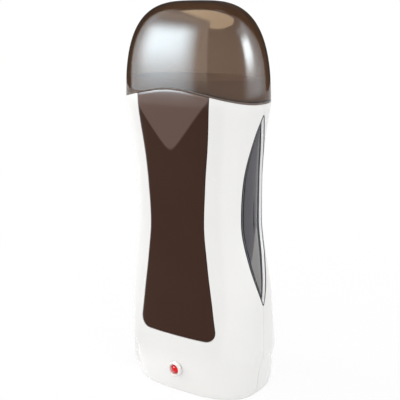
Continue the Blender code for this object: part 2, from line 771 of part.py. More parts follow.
def dome_rings(inset, bottom):
    """Rings of the rounded top, drawn in by an inset, from a bottom height up."""
    start = HEIGHT - DOME_HEIGHT
    rise = DOME_HEIGHT - inset
    shoulder = COVER_EDGE_HEIGHT + COVER_EDGE_ARCH
    heights = ring_angles(bottom, shoulder, SHOULDER_ROWS)
    for index in range(DOME_ROWS + 1):
        angle = math.pi / 2 * index / (DOME_ROWS + 0.35)
        height = start + rise * math.sin(angle) ** (2 / DOME_EXPONENT)
        if height > shoulder + OVERRUN:
            heights.append(height)
    rings = [body_ring(height, inset) for height in heights]
    crown = [Vector((point.x, point.y, start + rise)) for point in rings[-1]]
    middle = Vector((0.0, 0.0, start + rise))
    return rings + [[middle.lerp(point, 0.6) for point in crown]]


def cover(assembly, material):
    """Domed cover that lifts straight off; its origin lies on the middle of its lift."""
    low = COVER_EDGE_HEIGHT - OVERRUN
    item = assembly.part("cover", stack(dome_rings(0.0, low)), material, (0.0, 0.0, COVER_EDGE_HEIGHT))
    inside = assembly.tool("cover_inside", stack(dome_rings(COVER_WALL, low - OVERRUN)))
    assembly.combine(item, inside)
    reach = SHOULDER_HALF_WIDTH + OVERRUN
    below = above_edge(reach, REAR_FOOT_DEPTH, GAP / 2, low - OVERRUN)
    assembly.combine(item, assembly.tool("below_edge", below))
    return item


def front_panel(assembly, material):
    """Thin curved panel that follows the front surface."""
    layers = [panel_grid(0.0, 0.0, -GAP / 2), panel_grid(0.0, PANEL_THICKNESS, -GAP / 2)]
    return assembly.part("front_panel", slab(layers), material)


def window(assembly, name, side, material):
    """Almond window, flush outside, with a flange behind the wall."""
    back = WALL + GAP
    layers = [
        window_grid(side, 0.0, 0.0),
        window_grid(side, 0.0, back),
        window_grid(side, WINDOW_FLANGE, back),
        window_grid(side, WINDOW_FLANGE, back + WINDOW_FLANGE_THICKNESS),
    ]
    return assembly.part(name, slab(layers), material)


def cartridge_collar(assembly, material):
    """Collar: a skirt inside the shells, a rim that the cover slides over and a deck round the cup."""
    skirt = WALL + GAP
    rings = [
        body_ring(COLLAR_BOTTOM, skirt),
        body_ring(COLLAR_STEP, skirt),
        body_ring(COLLAR_STEP, COVER_INSET),
        body_ring(DECK_TOP, COVER_INSET),
        body_ring(COLLAR_TOP, COVER_INSET),
        body_ring(COLLAR_TOP, COVER_INSET + COLLAR_RIM_WALL),
        body_ring(DECK_TOP, COVER_INSET + COLLAR_RIM_WALL),
        oblong_ring(DECK_TOP, CUP_HALF_WIDTH, CUP_HALF_DEPTH, CUP_CENTRE),
        oblong_ring(DECK_BOTTOM, CUP_HALF_WIDTH, CUP_HALF_DEPTH, CUP_CENTRE),
        body_ring(DECK_BOTTOM, COVER_INSET + COLLAR_RIM_WALL),
        body_ring(COLLAR_STEP, skirt + COLLAR_SKIRT),
        body_ring(COLLAR_BOTTOM, skirt + COLLAR_SKIRT),
    ]
    return assembly.part("cartridge_collar", stack(rings, joined=True), material)


def heating_cup(assembly, material):
    """Oblong cup that the cartridge stands in, open towards both windows."""
    rings = [
        oblong_ring(CUP_BOTTOM, CUP_HALF_WIDTH + CUP_WALL, CUP_HALF_DEPTH + CUP_WALL, CUP_CENTRE),
        oblong_ring(CUP_TOP, CUP_HALF_WIDTH + CUP_WALL, CUP_HALF_DEPTH + CUP_WALL, CUP_CENTRE),
        oblong_ring(CUP_TOP, CUP_HALF_WIDTH, CUP_HALF_DEPTH, CUP_CENTRE),
        oblong_ring(CUP_BOTTOM + CUP_FLOOR, CUP_HALF_WIDTH, CUP_HALF_DEPTH, CUP_CENTRE),
    ]
    cup = assembly.part("heating_cup", stack(rings), material)
    reach = CUP_HALF_WIDTH + OVERRUN
    low = (-reach, CUP_CENTRE - CUP_SLOT_HALF_DEPTH, CUP_SLOT_BOTTOM)
    slot = brick(low, (reach, CUP_CENTRE + CUP_SLOT_HALF_DEPTH, CUP_SLOT_TOP))
    ends = [edge for edge in slot.edges if abs(edge.verts[0].co.x - edge.verts[1].co.x) > CUP_HALF_WIDTH]
    bmesh.ops.bevel(slot, geom=ends, offset=CUP_SLOT_HALF_DEPTH / 2, segments=4, profile=0.5, affect="EDGES")
    assembly.combine(cup, assembly.tool("cup_slot", slot))
    return cup


def cartridge_rest(assembly, material):
    """Soft ring on the cup's floor that the cartridge stands on."""
    bottom = CUP_BOTTOM + CUP_FLOOR + GAP
    top = bottom + REST_THICKNESS
    half_width, half_depth = CUP_HALF_WIDTH - GAP, CUP_HALF_DEPTH - GAP
    rings = [
        oblong_ring(bottom, half_width, half_depth, CUP_CENTRE),
        oblong_ring(top, half_width, half_depth, CUP_CENTRE),
        oblong_ring(top, half_width - REST_RIM, half_depth - REST_RIM, CUP_CENTRE),
        oblong_ring(bottom, half_width - REST_RIM, half_depth - REST_RIM, CUP_CENTRE),
    ]
    return assembly.part("cartridge_rest", stack(rings, joined=True), material)


def cup_cradle(assembly, material):
    """Plate on the shelf that carries the cup round an opening for the heater."""
    inset = WALL + GAP
    opening = (CRADLE_OPENING_HALF_WIDTH, CRADLE_OPENING_HALF_DEPTH, CUP_CENTRE)
    rings = [
        body_ring(CRADLE_BOTTOM, inset),
        body_ring(CRADLE_TOP, inset),
        oblong_ring(CRADLE_TOP, *opening),
        oblong_ring(CRADLE_BOTTOM, *opening),
    ]
    cradle = assembly.part("cup_cradle", stack(rings, joined=True), material)
    for index, side in enumerate((-1, 1)):
        depth = CLAMP_SCREW_LENGTH - CLAMP_THICKNESS
        hole = turned([(CLAMP_SCREW_RADIUS + GAP, -OVERRUN), (CLAMP_SCREW_RADIUS + GAP, depth)], SMALL_SIDES)
        hole.transform(Matrix.Translation((side * CLAMP_SCREW_SPREAD, CUP_CENTRE, CRADLE_BOTTOM)))
        assembly.combine(cradle, assembly.tool(f"cradle_pilot_{index}", hole))
    return cradle


def heater_stack(assembly, materials):
    """Ceramic heater under the cup, the sheet that insulates it and the clamp that presses both up."""
    heater = brick(
        (-HEATER_HALF_WIDTH, CUP_CENTRE - HEATER_HALF_DEPTH, HEATER_BOTTOM),
        (HEATER_HALF_WIDTH, CUP_CENTRE + HEATER_HALF_DEPTH, HEATER_TOP),
        SMALL_EDGE,
    )
    assembly.part("ptc_heater", heater, materials["ceramic"])
    sheet = brick(
        (-HEATER_HALF_WIDTH, CUP_CENTRE - HEATER_HALF_DEPTH, INSULATOR_TOP - INSULATOR_THICKNESS),
        (HEATER_HALF_WIDTH, CUP_CENTRE + HEATER_HALF_DEPTH, INSULATOR_TOP),
    )
    assembly.part("insulator_sheet", sheet, materials["mica"])
    plate = brick(
        (-CLAMP_HALF_LENGTH, CUP_CENTRE - CLAMP_HALF_DEPTH, CLAMP_BOTTOM),
        (CLAMP_HALF_LENGTH, CUP_CENTRE + CLAMP_HALF_DEPTH, CLAMP_TOP),
    )
    clamp = assembly.part("heater_clamp", plate, materials["steel"])
    for side, word in ((-1, "left"), (1, "right")):
        place = (side * CLAMP_SCREW_SPREAD, CUP_CENTRE, CLAMP_BOTTOM - GAP)
        hole = turned([(CLAMP_SCREW_RADIUS + GAP, -OVERRUN), (CLAMP_SCREW_RADIUS + GAP, OVERRUN)], SMALL_SIDES)
        hole.transform(Matrix.Translation(place))
        assembly.combine(clamp, assembly.tool("clamp_hole_" + word, hole))
        screw = screw_mesh(CLAMP_SCREW_RADIUS, CLAMP_SCREW_LENGTH, SMALL_SIDES)
        assembly.placed("clamp_screw_" + word, screw, materials["steel"], place)


def screw_mesh(radius, length, sides):
    """Pan-head screw: its shank points up Z from the head's seat, and its head has a round recess."""
    head = head_radius(radius)
    thickness = 1.3 * radius
    recess = 0.55 * head
    return turned([
        (recess, -0.45 * thickness),
        (recess, -thickness),
        (0.75 * head, -thickness),
        (head, -0.6 * thickness),
        (head, 0.0),
        (radius, 0.0),
        (radius, length - radius),
        (0.4 * radius, length),
    ], sides)


def sensors(assembly, materials):
    """Thermostat and thermal fuse against the underside of the clamp."""
    top = CLAMP_BOTTOM - GAP
    left = -THERMOSTAT_OFFSET - THERMOSTAT_LENGTH / 2
    right = left + THERMOSTAT_LENGTH
    low = (left, CUP_CENTRE - THERMOSTAT_DEPTH / 2, top - THERMOSTAT_THICKNESS)
    case = brick(low, (right, CUP_CENTRE + THERMOSTAT_DEPTH / 2, top), LARGE_EDGE)
    assembly.part("thermostat", case, materials["steel"])
    fuse = turned([
        (PART_LEAD_RADIUS, 0.0),
        (PART_LEAD_RADIUS, FUSE_LEAD),
        (0.6 * FUSE_RADIUS, FUSE_LEAD),
        (FUSE_RADIUS, FUSE_LEAD + 0.2 * FUSE_LENGTH),
        (FUSE_RADIUS, FUSE_LEAD + FUSE_LENGTH),
        (PART_LEAD_RADIUS, FUSE_LEAD + FUSE_LENGTH),
        (PART_LEAD_RADIUS, 2 * FUSE_LEAD + FUSE_LENGTH),
    ], SMALL_SIDES)
    place = (right + GAP, CUP_CENTRE, top - FUSE_RADIUS)
    assembly.placed("thermal_fuse", fuse, materials["tin"], place, (0.0, math.pi / 2, 0.0))
    return Vector(place), left


def housing_screws(assembly, material):
    """Screws that draw the rear shell to the front shell."""
    seat = SCREW_SEAT + GAP
    for index, (across, height) in enumerate(post_places(), start=1):
        screw = screw_mesh(SCREW_RADIUS, SCREW_LENGTH, SMALL_SIDES)
        place = (across, seat, height)
        assembly.placed(f"housing_screw_{index}", screw, material, place, (math.pi / 2, 0.0, 0.0))


def circuit_board(assembly, materials):
    """Upright board behind the lamp, with its screws, resistor and diode."""
    low = (-BOARD_HALF_WIDTH, -BOARD_FACE, BOARD_BOTTOM)
    plate = brick(low, (BOARD_HALF_WIDTH, -BOARD_BACK, BOARD_BOTTOM + BOARD_HEIGHT))
    board = assembly.part("circuit_board", plate, materials["board"])
    for word, (across, height) in zip(("left", "right"), board_post_places()):
        hole = rod(BOARD_SCREW_RADIUS + GAP, -BOARD_FACE - OVERRUN, -BOARD_BACK + OVERRUN, across, height)
        assembly.combine(board, assembly.tool("board_hole_" + word, hole))
        screw = screw_mesh(BOARD_SCREW_RADIUS, BOARD_SCREW_LENGTH, SMALL_SIDES)
        place = (across, -BOARD_BACK + GAP, height)
        assembly.placed("board_screw_" + word, screw, materials["steel"], place, (math.pi / 2, 0.0, 0.0))
    component(assembly, "dropper_resistor", RESISTOR_RADIUS, RESISTOR_LENGTH, RESISTOR_HEIGHT, materials["resistor"])
    component(assembly, "rectifier_diode", DIODE_RADIUS, DIODE_LENGTH, DIODE_HEIGHT, materials["black"])


def component(assembly, name, radius, length, height, material):
    """Round component with a lead at each end, lying against the back of the board."""
    half = length / 2
    profile = [
        (PART_LEAD_RADIUS, -half - PART_LEAD),
        (PART_LEAD_RADIUS, -half),
        (0.8 * radius, -half),
        (radius, -0.7 * half),
        (radius, 0.7 * half),
        (0.8 * radius, half),
        (PART_LEAD_RADIUS, half),
        (PART_LEAD_RADIUS, half + PART_LEAD),
    ]
    place = (0.0, -BOARD_BACK + GAP + radius, height)
    assembly.placed(name, turned(profile, SMALL_SIDES), material, place, (0.0, math.pi / 2, 0.0))


def sleeve_radius():
    """Radius of the bezel's sleeve in the front wall."""
    return LAMP_RADIUS + GAP + SMALL_EDGE


def indicator(assembly, materials):
    """Round red lamp on two legs, in a white ring that stands proud of the front."""
    face = lamp_face()
    tip = face - BEZEL_PROUD + SMALL_EDGE
    base = tip + LAMP_LENGTH
    bore = LAMP_RADIUS + GAP
    bezel = turned([
        (bore, -BEZEL_SLEEVE_LENGTH),
        (sleeve_radius(), -BEZEL_SLEEVE_LENGTH),
        (sleeve_radius(), 0.0),
        (BEZEL_RADIUS, 0.0),
        (BEZEL_RADIUS, BEZEL_PROUD - LARGE_EDGE),
        (BEZEL_RADIUS - SMALL_EDGE, BEZEL_PROUD - SMALL_EDGE / 2),
        (BEZEL_RADIUS - LARGE_EDGE, BEZEL_PROUD),
        (bore, BEZEL_PROUD),
    ], ROUND_SIDES, joined=True)
    turn = (math.pi / 2, 0.0, 0.0)
    assembly.placed("indicator_bezel", bezel, materials["white"], (0.0, face, LAMP_HEIGHT), turn)
    straight = LAMP_LENGTH - LAMP_RADIUS
    angles = ring_angles(0.0, math.pi / 2, 5)[:-1]
    dome = [(LAMP_RADIUS * math.cos(angle), straight + LAMP_RADIUS * math.sin(angle)) for angle in angles]
    crown = [(0.12 * LAMP_RADIUS, LAMP_LENGTH)]
    lamp = turned([(LAMP_RADIUS, 0.0)] + dome + crown, ROUND_SIDES)
    item = assembly.placed("indicator_lamp", lamp, materials["lamp"], (0.0, base, LAMP_HEIGHT), turn)
    reach = -BOARD_FACE - GAP
    for side, word in ((-1, "left"), (1, "right")):
        leg = rod(LAMP_LEG_RADIUS, base - SMALL_EDGE, reach, side * LAMP_LEG_SPREAD, LAMP_HEIGHT, LEG_SIDES)
        assembly.combine(item, assembly.tool("lamp_leg_" + word, leg), "UNION")


def power_inlet(assembly, materials):
    """Two-pin mains inlet in the pad: a block with a rounded slot, a flange inside and two pins."""
    face = -PAD_REACH + GAP
    back = -INLET_BACK_PLACE
    block = inlet_brick(-face, -back, 0.0)
    inlet = assembly.part("power_inlet", block, materials["black"])
    end = INLET_BACK_PLACE + SMALL_EDGE
    flange = inlet_brick(end + INLET_FLANGE_THICKNESS, end, INLET_FLANGE)
    assembly.combine(inlet, assembly.tool("inlet_flange", flange), "UNION")
    outline = []
    straight = INLET_SLOT_HALF_DEPTH - INLET_SLOT_RADIUS
    for side in (1, -1):
        for angle in ring_angles(-math.pi / 2, math.pi / 2, 8):
            depth = side * (straight + INLET_SLOT_RADIUS * math.cos(angle))
            outline.append((depth, INLET_HEIGHT + side * INLET_SLOT_RADIUS * math.sin(angle)))
    slot = prism(outline, face - OVERRUN, back - INLET_BACK, "X")
    assembly.combine(inlet, assembly.tool("inlet_slot", slot))
    length = INLET_LENGTH - PIN_RECESS + PIN_TAIL
    for side, word in ((-1, "front"), (1, "rear")):
        place = (face + PIN_RECESS, side * PIN_SPREAD, INLET_HEIGHT)
        hole = turned([(PIN_RADIUS + GAP, 0.0), (PIN_RADIUS + GAP, length)], SMALL_SIDES)
        hole.transform(Matrix.Translation(place) @ Matrix.Rotation(math.pi / 2, 4, "Y"))
        assembly.combine(inlet, assembly.tool("pin_hole_" + word, hole))
        pin = turned([(0.6 * PIN_RADIUS, 0.0), (PIN_RADIUS, PIN_RADIUS), (PIN_RADIUS, length)], SMALL_SIDES)
        assembly.placed("inlet_pin_" + word, pin, materials["brass"], place, (0.0, math.pi / 2, 0.0))
    return face + PIN_RECESS + length


def terminal_block(assembly, material):
    """Three-way terminal block on the floor, with a screw hole over each way."""
    low = (-BLOCK_HALF_WIDTH, BLOCK_PLACE, BLOCK_BOTTOM)
    top = BLOCK_BOTTOM + BLOCK_HEIGHT
    block = assembly.part("terminal_block", brick(low, (BLOCK_HALF_WIDTH, BLOCK_PLACE + BLOCK_DEPTH, top)), material)
    for index in range(3):
        across = (index - 1) * 2 * BLOCK_HALF_WIDTH / 3
        hole = turned([(BLOCK_HOLE_RADIUS, -BLOCK_HOLE_DEPTH), (BLOCK_HOLE_RADIUS, OVERRUN)], SMALL_SIDES)
        hole.transform(Matrix.Translation((across, BLOCK_PLACE + BLOCK_DEPTH / 2, top)))
        assembly.combine(block, assembly.tool(f"block_hole_{index}", hole))


def smooth_route(points):
    """Points of the smooth curve that passes through a route."""
    points = [Vector(point) for point in points]
    ends = [2 * points[0] - points[1]] + points + [2 * points[-1] - points[-2]]
    route = [points[0]]
    for index in range(1, len(ends) - 2):
        before, start, end, after = ends[index - 1:index + 3]
        for step in range(1, ROUTE_STEPS + 1):
            part = step / ROUTE_STEPS
            route.append(0.5 * (
                2 * start + (end - before) * part
                + (2 * before - 5 * start + 4 * end - after) * part ** 2
                + (3 * start - before - 3 * end + after) * part ** 3
            ))
    return route


def lead(assembly, name, points, material):
    """Insulated lead along a smooth route."""
    data = bpy.data.curves.new(name, "CURVE")
    data.dimensions = "3D"
    route = smooth_route(points)
    spline = data.splines.new("POLY")
    spline.points.add(len(route) - 1)
    for target, point in zip(spline.points, route):
        target.co = (*point, 1.0)
    data.bevel_depth = LEAD_RADIUS
    data.bevel_resolution = 1
    data.use_fill_caps = True
    data.materials.append(material)
    item = bpy.data.objects.new(name, data)
    item.parent = assembly.frame
    bpy.context.scene.collection.objects.link(item)


def leads(assembly, materials, pin_end, fuse, thermostat_left):
    """Leads from the inlet through the thermostat and fuse to the heater, and to the lamp's board."""
    start = pin_end + GAP
    post_top = LOW_POST_HEIGHT + well_radius() + WELL_WALL + 2 * LEAD_RADIUS
    sensor = fuse.z
    low = FLOOR + 3 * LEAD_RADIUS
    block_back = BLOCK_PLACE + BLOCK_DEPTH / 2
    lead(assembly, "live_lead", [
        (start, -PIN_SPREAD, INLET_HEIGHT),
        (start + 3 * LEAD_RADIUS, -PIN_SPREAD, INLET_HEIGHT),
        (start + 4.5 * LEAD_RADIUS, -PIN_SPREAD, INLET_HEIGHT + 4 * LEAD_RADIUS),
        (start + 4 * LEAD_RADIUS, -PIN_SPREAD / 2, post_top),
        (-LOW_POST_SPREAD, 0.0, (post_top + sensor) / 2),
        (thermostat_left - 4 * LEAD_RADIUS, CUP_CENTRE, sensor - 2 * LEAD_RADIUS),
        (thermostat_left - GAP, CUP_CENTRE, sensor),
    ], materials["brown_lead"])
    lead(assembly, "neutral_lead", [
        (start, PIN_SPREAD, INLET_HEIGHT),
        (start + 3 * LEAD_RADIUS, PIN_SPREAD, INLET_HEIGHT),
        (start + 4 * LEAD_RADIUS, PIN_SPREAD + 4 * LEAD_RADIUS, INLET_HEIGHT - 3 * LEAD_RADIUS),
        (start + 4 * LEAD_RADIUS, BLOCK_PLACE, low),
        (-LOW_POST_SPREAD, block_back, low),
        (-BLOCK_HALF_WIDTH - 3 * LEAD_RADIUS, block_back, LEAD_PLACE),
        (-BLOCK_HALF_WIDTH - GAP, block_back, LEAD_PLACE),
    ], materials["blue_lead"])
    heater_middle = (HEATER_TOP + HEATER_BOTTOM) / 2
    heater_back = CUP_CENTRE + HEATER_HALF_DEPTH + GAP
    heater_front = CUP_CENTRE - HEATER_HALF_DEPTH - GAP
    place = HEATER_HALF_WIDTH * 0.4
    lead(assembly, "heater_lead", [
        (BLOCK_HALF_WIDTH + GAP, block_back, LEAD_PLACE),
        (BLOCK_HALF_WIDTH + 3 * LEAD_RADIUS, block_back, LEAD_PLACE),
        (BLOCK_HALF_WIDTH + 5 * LEAD_RADIUS, block_back, LEAD_PLACE + 4 * LEAD_RADIUS),
        (BLOCK_HALF_WIDTH, block_back, post_top),
        (place, heater_back + 3 * LEAD_RADIUS, CLAMP_BOTTOM - 6 * LEAD_RADIUS),
        (place, heater_back + 1.2 * LEAD_RADIUS, CLAMP_BOTTOM),
        (place, heater_back + 1.2 * LEAD_RADIUS, heater_middle),
    ], materials["blue_lead"])
    fuse_end = fuse.x + 2 * FUSE_LEAD + FUSE_LENGTH + GAP
    clamp_front = CUP_CENTRE - CLAMP_HALF_DEPTH
    lead(assembly, "fuse_lead", [
        (fuse_end, CUP_CENTRE, sensor),
        (fuse_end + 2 * LEAD_RADIUS, CUP_CENTRE - 2 * LEAD_RADIUS, sensor),
        (fuse_end, clamp_front - 2 * LEAD_RADIUS, sensor - LEAD_RADIUS),
        (2 * place, heater_front - 2 * LEAD_RADIUS, sensor - 2 * LEAD_RADIUS),
        (place, heater_front - 1.2 * LEAD_RADIUS, CLAMP_BOTTOM),
        (place, heater_front - 1.2 * LEAD_RADIUS, heater_middle),
    ], materials["brown_lead"])
    for side, word in ((-1, "left"), (1, "right")):
        across = side * BLOCK_HALF_WIDTH / 3
        lead(assembly, "lamp_lead_" + word, [
            (across, BLOCK_PLACE - GAP, LEAD_PLACE),
            (across, BLOCK_PLACE - 5 * LEAD_RADIUS, LEAD_PLACE - LEAD_RADIUS),
            (across, 0.0, LEAD_PLACE - LEAD_RADIUS),
            (across, -BOARD_BACK + 4 * LEAD_RADIUS, LAMP_HEIGHT - LEAD_RADIUS),
            (across, -BOARD_BACK + GAP, LAMP_HEIGHT),
        ], materials["black_lead"])


def finishes():
    """Every material of the heater by its plain name."""
    return {
        "white": finish("white_shell", (0.88, 0.87, 0.85), 0.22),
        "panel": finish("brown_panel", (0.055, 0.028, 0.019), 0.18),
        "cover": finish("smoke_cover", (0.16, 0.095, 0.06), 0.12, see_through=0.35),
        "lens": finish("smoke_window", (0.12, 0.115, 0.125), 0.1, see_through=0.5),
        "aluminium": finish("aluminium", (0.78, 0.78, 0.8), 0.35, 1.0),
        "steel": finish("steel", (0.6, 0.6, 0.62), 0.3, 1.0),
        "brass": finish("brass_pins", (0.8, 0.68, 0.42), 0.28, 1.0),
        "tin": finish("tinned_case", (0.7, 0.7, 0.72), 0.4, 1.0),
        "ceramic": finish("ceramic", (0.75, 0.72, 0.66), 0.6),
        "mica": finish("mica", (0.62, 0.55, 0.42), 0.4),
        "cradle": finish("cradle_plastic", (0.72, 0.7, 0.66), 0.45),
        "silicone": finish("silicone", (0.5, 0.5, 0.5), 0.6),
        "board": finish("board", (0.04, 0.2, 0.08), 0.4),
        "black": finish("black_plastic", (0.02, 0.02, 0.022), 0.35),
        "lamp": finish("red_lamp", (0.75, 0.03, 0.04), 0.12, see_through=0.3),
        "resistor": finish("resistor_body", (0.35, 0.5, 0.6), 0.4),
        "brown_lead": finish("brown_lead", (0.16, 0.07, 0.03), 0.45),
        "blue_lead": finish("blue_lead", (0.04, 0.12, 0.4), 0.45),
        "black_lead": finish("black_lead", (0.02, 0.02, 0.02), 0.45),
    }


def main():
    """Build every sub-part."""
    clear_scene()
    materials = finishes()
    assembly = Assembly()
    front = front_housing(assembly, materials["white"])
    front_board_posts(assembly, front)
    rear_housing(assembly, materials["white"])
    cover(assembly, materials["cover"])
    front_panel(assembly, materials["panel"])
    window(assembly, "window_left", -1, materials["lens"])
    window(assembly, "window_right", 1, materials["lens"])
    cartridge_collar(assembly, materials["white"])
    heating_cup(assembly, materials["aluminium"])
    cartridge_rest(assembly, materials["silicone"])
    cup_cradle(assembly, materials["cradle"])
    heater_stack(assembly, materials)
    fuse, thermostat_left = sensors(assembly, materials)
    housing_screws(assembly, materials["steel"])
    circuit_board(assembly, materials)
    indicator(assembly, materials)
    pin_end = power_inlet(assembly, materials)
    terminal_block(assembly, materials["cradle"])
    leads(assembly, materials, pin_end, fuse, thermostat_left)


main()
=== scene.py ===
"""Looks of the roll-on wax heater: its visible pieces, finishes, floor, lights and camera.

Metres, +Z up, front towards -Y, in the frame of the CAD model. Meshes are made in body
coordinates, whose plane y = 0 is the joint between the two shells, and shifted into place.
"""

import json
import logging
import math
from dataclasses import dataclass, field
from enum import Enum
from functools import cached_property
from typing import Callable, Sequence

import bmesh
import bpy
from mathutils import Matrix, Vector

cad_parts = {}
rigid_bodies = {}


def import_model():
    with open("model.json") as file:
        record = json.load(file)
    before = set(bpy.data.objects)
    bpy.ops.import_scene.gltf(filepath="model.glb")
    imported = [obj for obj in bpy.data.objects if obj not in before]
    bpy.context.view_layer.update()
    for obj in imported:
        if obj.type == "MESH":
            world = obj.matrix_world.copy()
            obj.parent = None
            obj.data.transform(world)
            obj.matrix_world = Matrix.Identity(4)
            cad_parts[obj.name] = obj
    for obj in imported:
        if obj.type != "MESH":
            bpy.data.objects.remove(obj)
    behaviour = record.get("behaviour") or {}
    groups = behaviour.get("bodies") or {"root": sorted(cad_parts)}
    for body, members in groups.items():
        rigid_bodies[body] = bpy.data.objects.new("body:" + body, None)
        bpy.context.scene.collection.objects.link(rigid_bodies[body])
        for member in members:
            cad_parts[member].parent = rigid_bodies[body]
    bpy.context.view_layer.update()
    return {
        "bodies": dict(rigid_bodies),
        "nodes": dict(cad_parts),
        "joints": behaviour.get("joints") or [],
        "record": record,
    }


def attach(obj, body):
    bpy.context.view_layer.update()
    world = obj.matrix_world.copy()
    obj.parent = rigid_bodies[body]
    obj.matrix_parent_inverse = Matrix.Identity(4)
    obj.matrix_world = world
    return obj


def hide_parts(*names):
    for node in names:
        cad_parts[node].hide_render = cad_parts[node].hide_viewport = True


log = logging.getLogger("wax_heater")

Mesh = bmesh.types.BMesh
Tree = bpy.types.NodeTree
Node = bpy.types.Node
Socket = bpy.types.NodeSocket
Colour = tuple[float, float, float]
Stations = tuple[tuple[float, float], ...]
RIPPLE_UNIT = 1e-3
DUST_COLOUR = (0.62, 0.60, 0.57)
DUST_ROUGHNESS = 0.3


class Side(Enum):
    """Half of the heater, by the sign of its depth coordinate."""

    FRONT = -1
    REAR = 1


class Hand(Enum):
    """Left or right side, by the sign of its distance from the middle."""

    LEFT = -1
    RIGHT = 1


class Ends(Enum):
    """How the ends of a loft are closed."""

    CAPPED = "capped"
    JOINED = "joined"


class Body(Enum):
    """Bodies of the model that pieces ride on."""

    HEATER = "heater"
    COVER = "cover"


def curve_through(stations: Stations, place: float) -> float:
    """Value at a place on the smooth, never overshooting curve through stations.

    Args:
        stations: Pairs of place and value, in rising order of place.
        place: Where the curve is read.

    Returns:
        The value there.
    """
    places = [station[0] for station in stations]
    values = [station[1] for station in stations]
    steps = [after - before for before, after in zip(places, places[1:])]
    rises = [(after - before) / step for before, after, step in zip(values, values[1:], steps)]
    slopes = [rises[0]]
    for index in range(1, len(rises)):
        before, after = rises[index - 1], rises[index]
        if before * after <= 0:
            slopes.append(0.0)
            continue
        lead = 2 * steps[index] + steps[index - 1]
        trail = steps[index] + 2 * steps[index - 1]
        slopes.append((lead + trail) / (lead / before + trail / after))
    slopes.append(rises[-1])
    place = min(max(place, places[0]), places[-1])
    index = 0
    while index < len(steps) - 1 and place > places[index + 1]:
        index += 1
    part = (place - places[index]) / steps[index]
    start = (2 * part**3 - 3 * part**2 + 1) * values[index]
    end = (3 * part**2 - 2 * part**3) * values[index + 1]
    bend = (part**3 - 2 * part**2 + part) * slopes[index]
    bend += (part**3 - part**2) * slopes[index + 1]
    return start + end + bend * steps[index]


def evenly(start: float, end: float, count: int) -> list[float]:
    """Values from start to end in a count of equal steps, both ends included."""
    return [start + (end - start) * index / count for index in range(count + 1)]


def power(share: float, exponent: float) -> float:
    """Signed power of a sine or cosine that turns a circle into a rounded oblong."""
    return math.copysign(abs(share) ** (2 / exponent), share)


def outward(mesh: Mesh) -> Mesh:
    """Turn every face of a closed mesh outwards."""
    mesh.normal_update()
    bmesh.ops.recalc_face_normals(mesh, faces=mesh.faces)
    return mesh


def loop_edges(loop: Sequence[bmesh.types.BMVert]) -> list[bmesh.types.BMEdge]:
    """Edges between the vertices that follow each other round a loop."""
    wanted = set(loop)
    near = (edge for vert in loop for edge in vert.link_edges if edge.other_vert(vert) in wanted)
    return list(dict.fromkeys(near))


def lofted(rings: Sequence[Sequence[Vector]], ends: Ends = Ends.CAPPED) -> Mesh:
    """Closed form through a row of rings, extruded from one to the next.

    Args:
        rings: Rings of equal point count, in order.
        ends: Whether the first and last ring are capped or joined to each other.

    Returns:
        The closed mesh, with its faces turned outwards.
    """
    mesh = bmesh.new()
    loop = bmesh.ops.create_circle(mesh, segments=len(rings[0]), radius=1.0, cap_ends=False)["verts"]
    first = list(loop)
    edges = loop_edges(loop)
    for vert, point in zip(loop, rings[0]):
        vert.co = point
    first_edges = edges
    for ring in rings[1:]:
        made = bmesh.ops.extrude_edge_only(mesh, edges=edges)["geom"]
        fresh = {item for item in made if isinstance(item, bmesh.types.BMVert)}
        following = []
        for vert in loop:
            following += [e.other_vert(vert) for e in vert.link_edges if e.other_vert(vert) in fresh]
        loop = following
        edges = [
            item for item in made
            if isinstance(item, bmesh.types.BMEdge) and item.verts[0] in fresh and item.verts[1] in fresh
        ]
        for vert, point in zip(loop, ring):
            vert.co = point
    if ends is Ends.CAPPED:
        bmesh.ops.contextual_create(mesh, geom=first)
        bmesh.ops.contextual_create(mesh, geom=loop)
    else:
        bmesh.ops.bridge_loops(mesh, edges=first_edges + edges)
    return outward(mesh)


def mapped_slab(columns: int, rows: int, place: Callable[[float, float, float], Vector]) -> Mesh:
    """Closed plate bent over a surface: a grid, extruded, with every vertex put in its place.

    Args:
        columns: Count of faces across.
        rows: Count of faces up.
        place: Point for a position across and up, both from -1 to 1, and a layer, 0 or 1.

    Returns:
        The closed mesh.
    """
    mesh = bmesh.new()
    bmesh.ops.create_grid(mesh, x_segments=columns, y_segments=rows, size=1.0)
    made = bmesh.ops.extrude_face_region(mesh, geom=mesh.faces[:], use_keep_orig=True)["geom"]
    upper = [item for item in made if isinstance(item, bmesh.types.BMVert)]
    bmesh.ops.translate(mesh, vec=(0.0, 0.0, 1.0), verts=upper)
    for vert in mesh.verts:
        vert.co = place(vert.co.x, vert.co.y, vert.co.z)
    return outward(mesh)


def turned(profile: Sequence[tuple[float, float]], sides: int = 48) -> Mesh:
    """Closed form spun round Z.

    Args:
        profile: Radius and height pairs; a radius of zero closes the form on the axis.
        sides: Count of steps round.

    Returns:
        The closed mesh.
    """
    mesh = bmesh.new()
    verts = [mesh.verts.new((radius, 0.0, height)) for radius, height in profile]
    edges = [mesh.edges.new(pair) for pair in zip(verts, verts[1:])]
    if profile[0][0] > 0 and profile[-1][0] > 0:
        edges.append(mesh.edges.new((verts[-1], verts[0])))
    bmesh.ops.spin(
        mesh, geom=verts + edges, axis=(0, 0, 1), cent=(0, 0, 0),
        steps=sides, angle=2 * math.pi, use_merge=True,
    )
    bmesh.ops.remove_doubles(mesh, verts=mesh.verts, dist=1e-7)
    return outward(mesh)


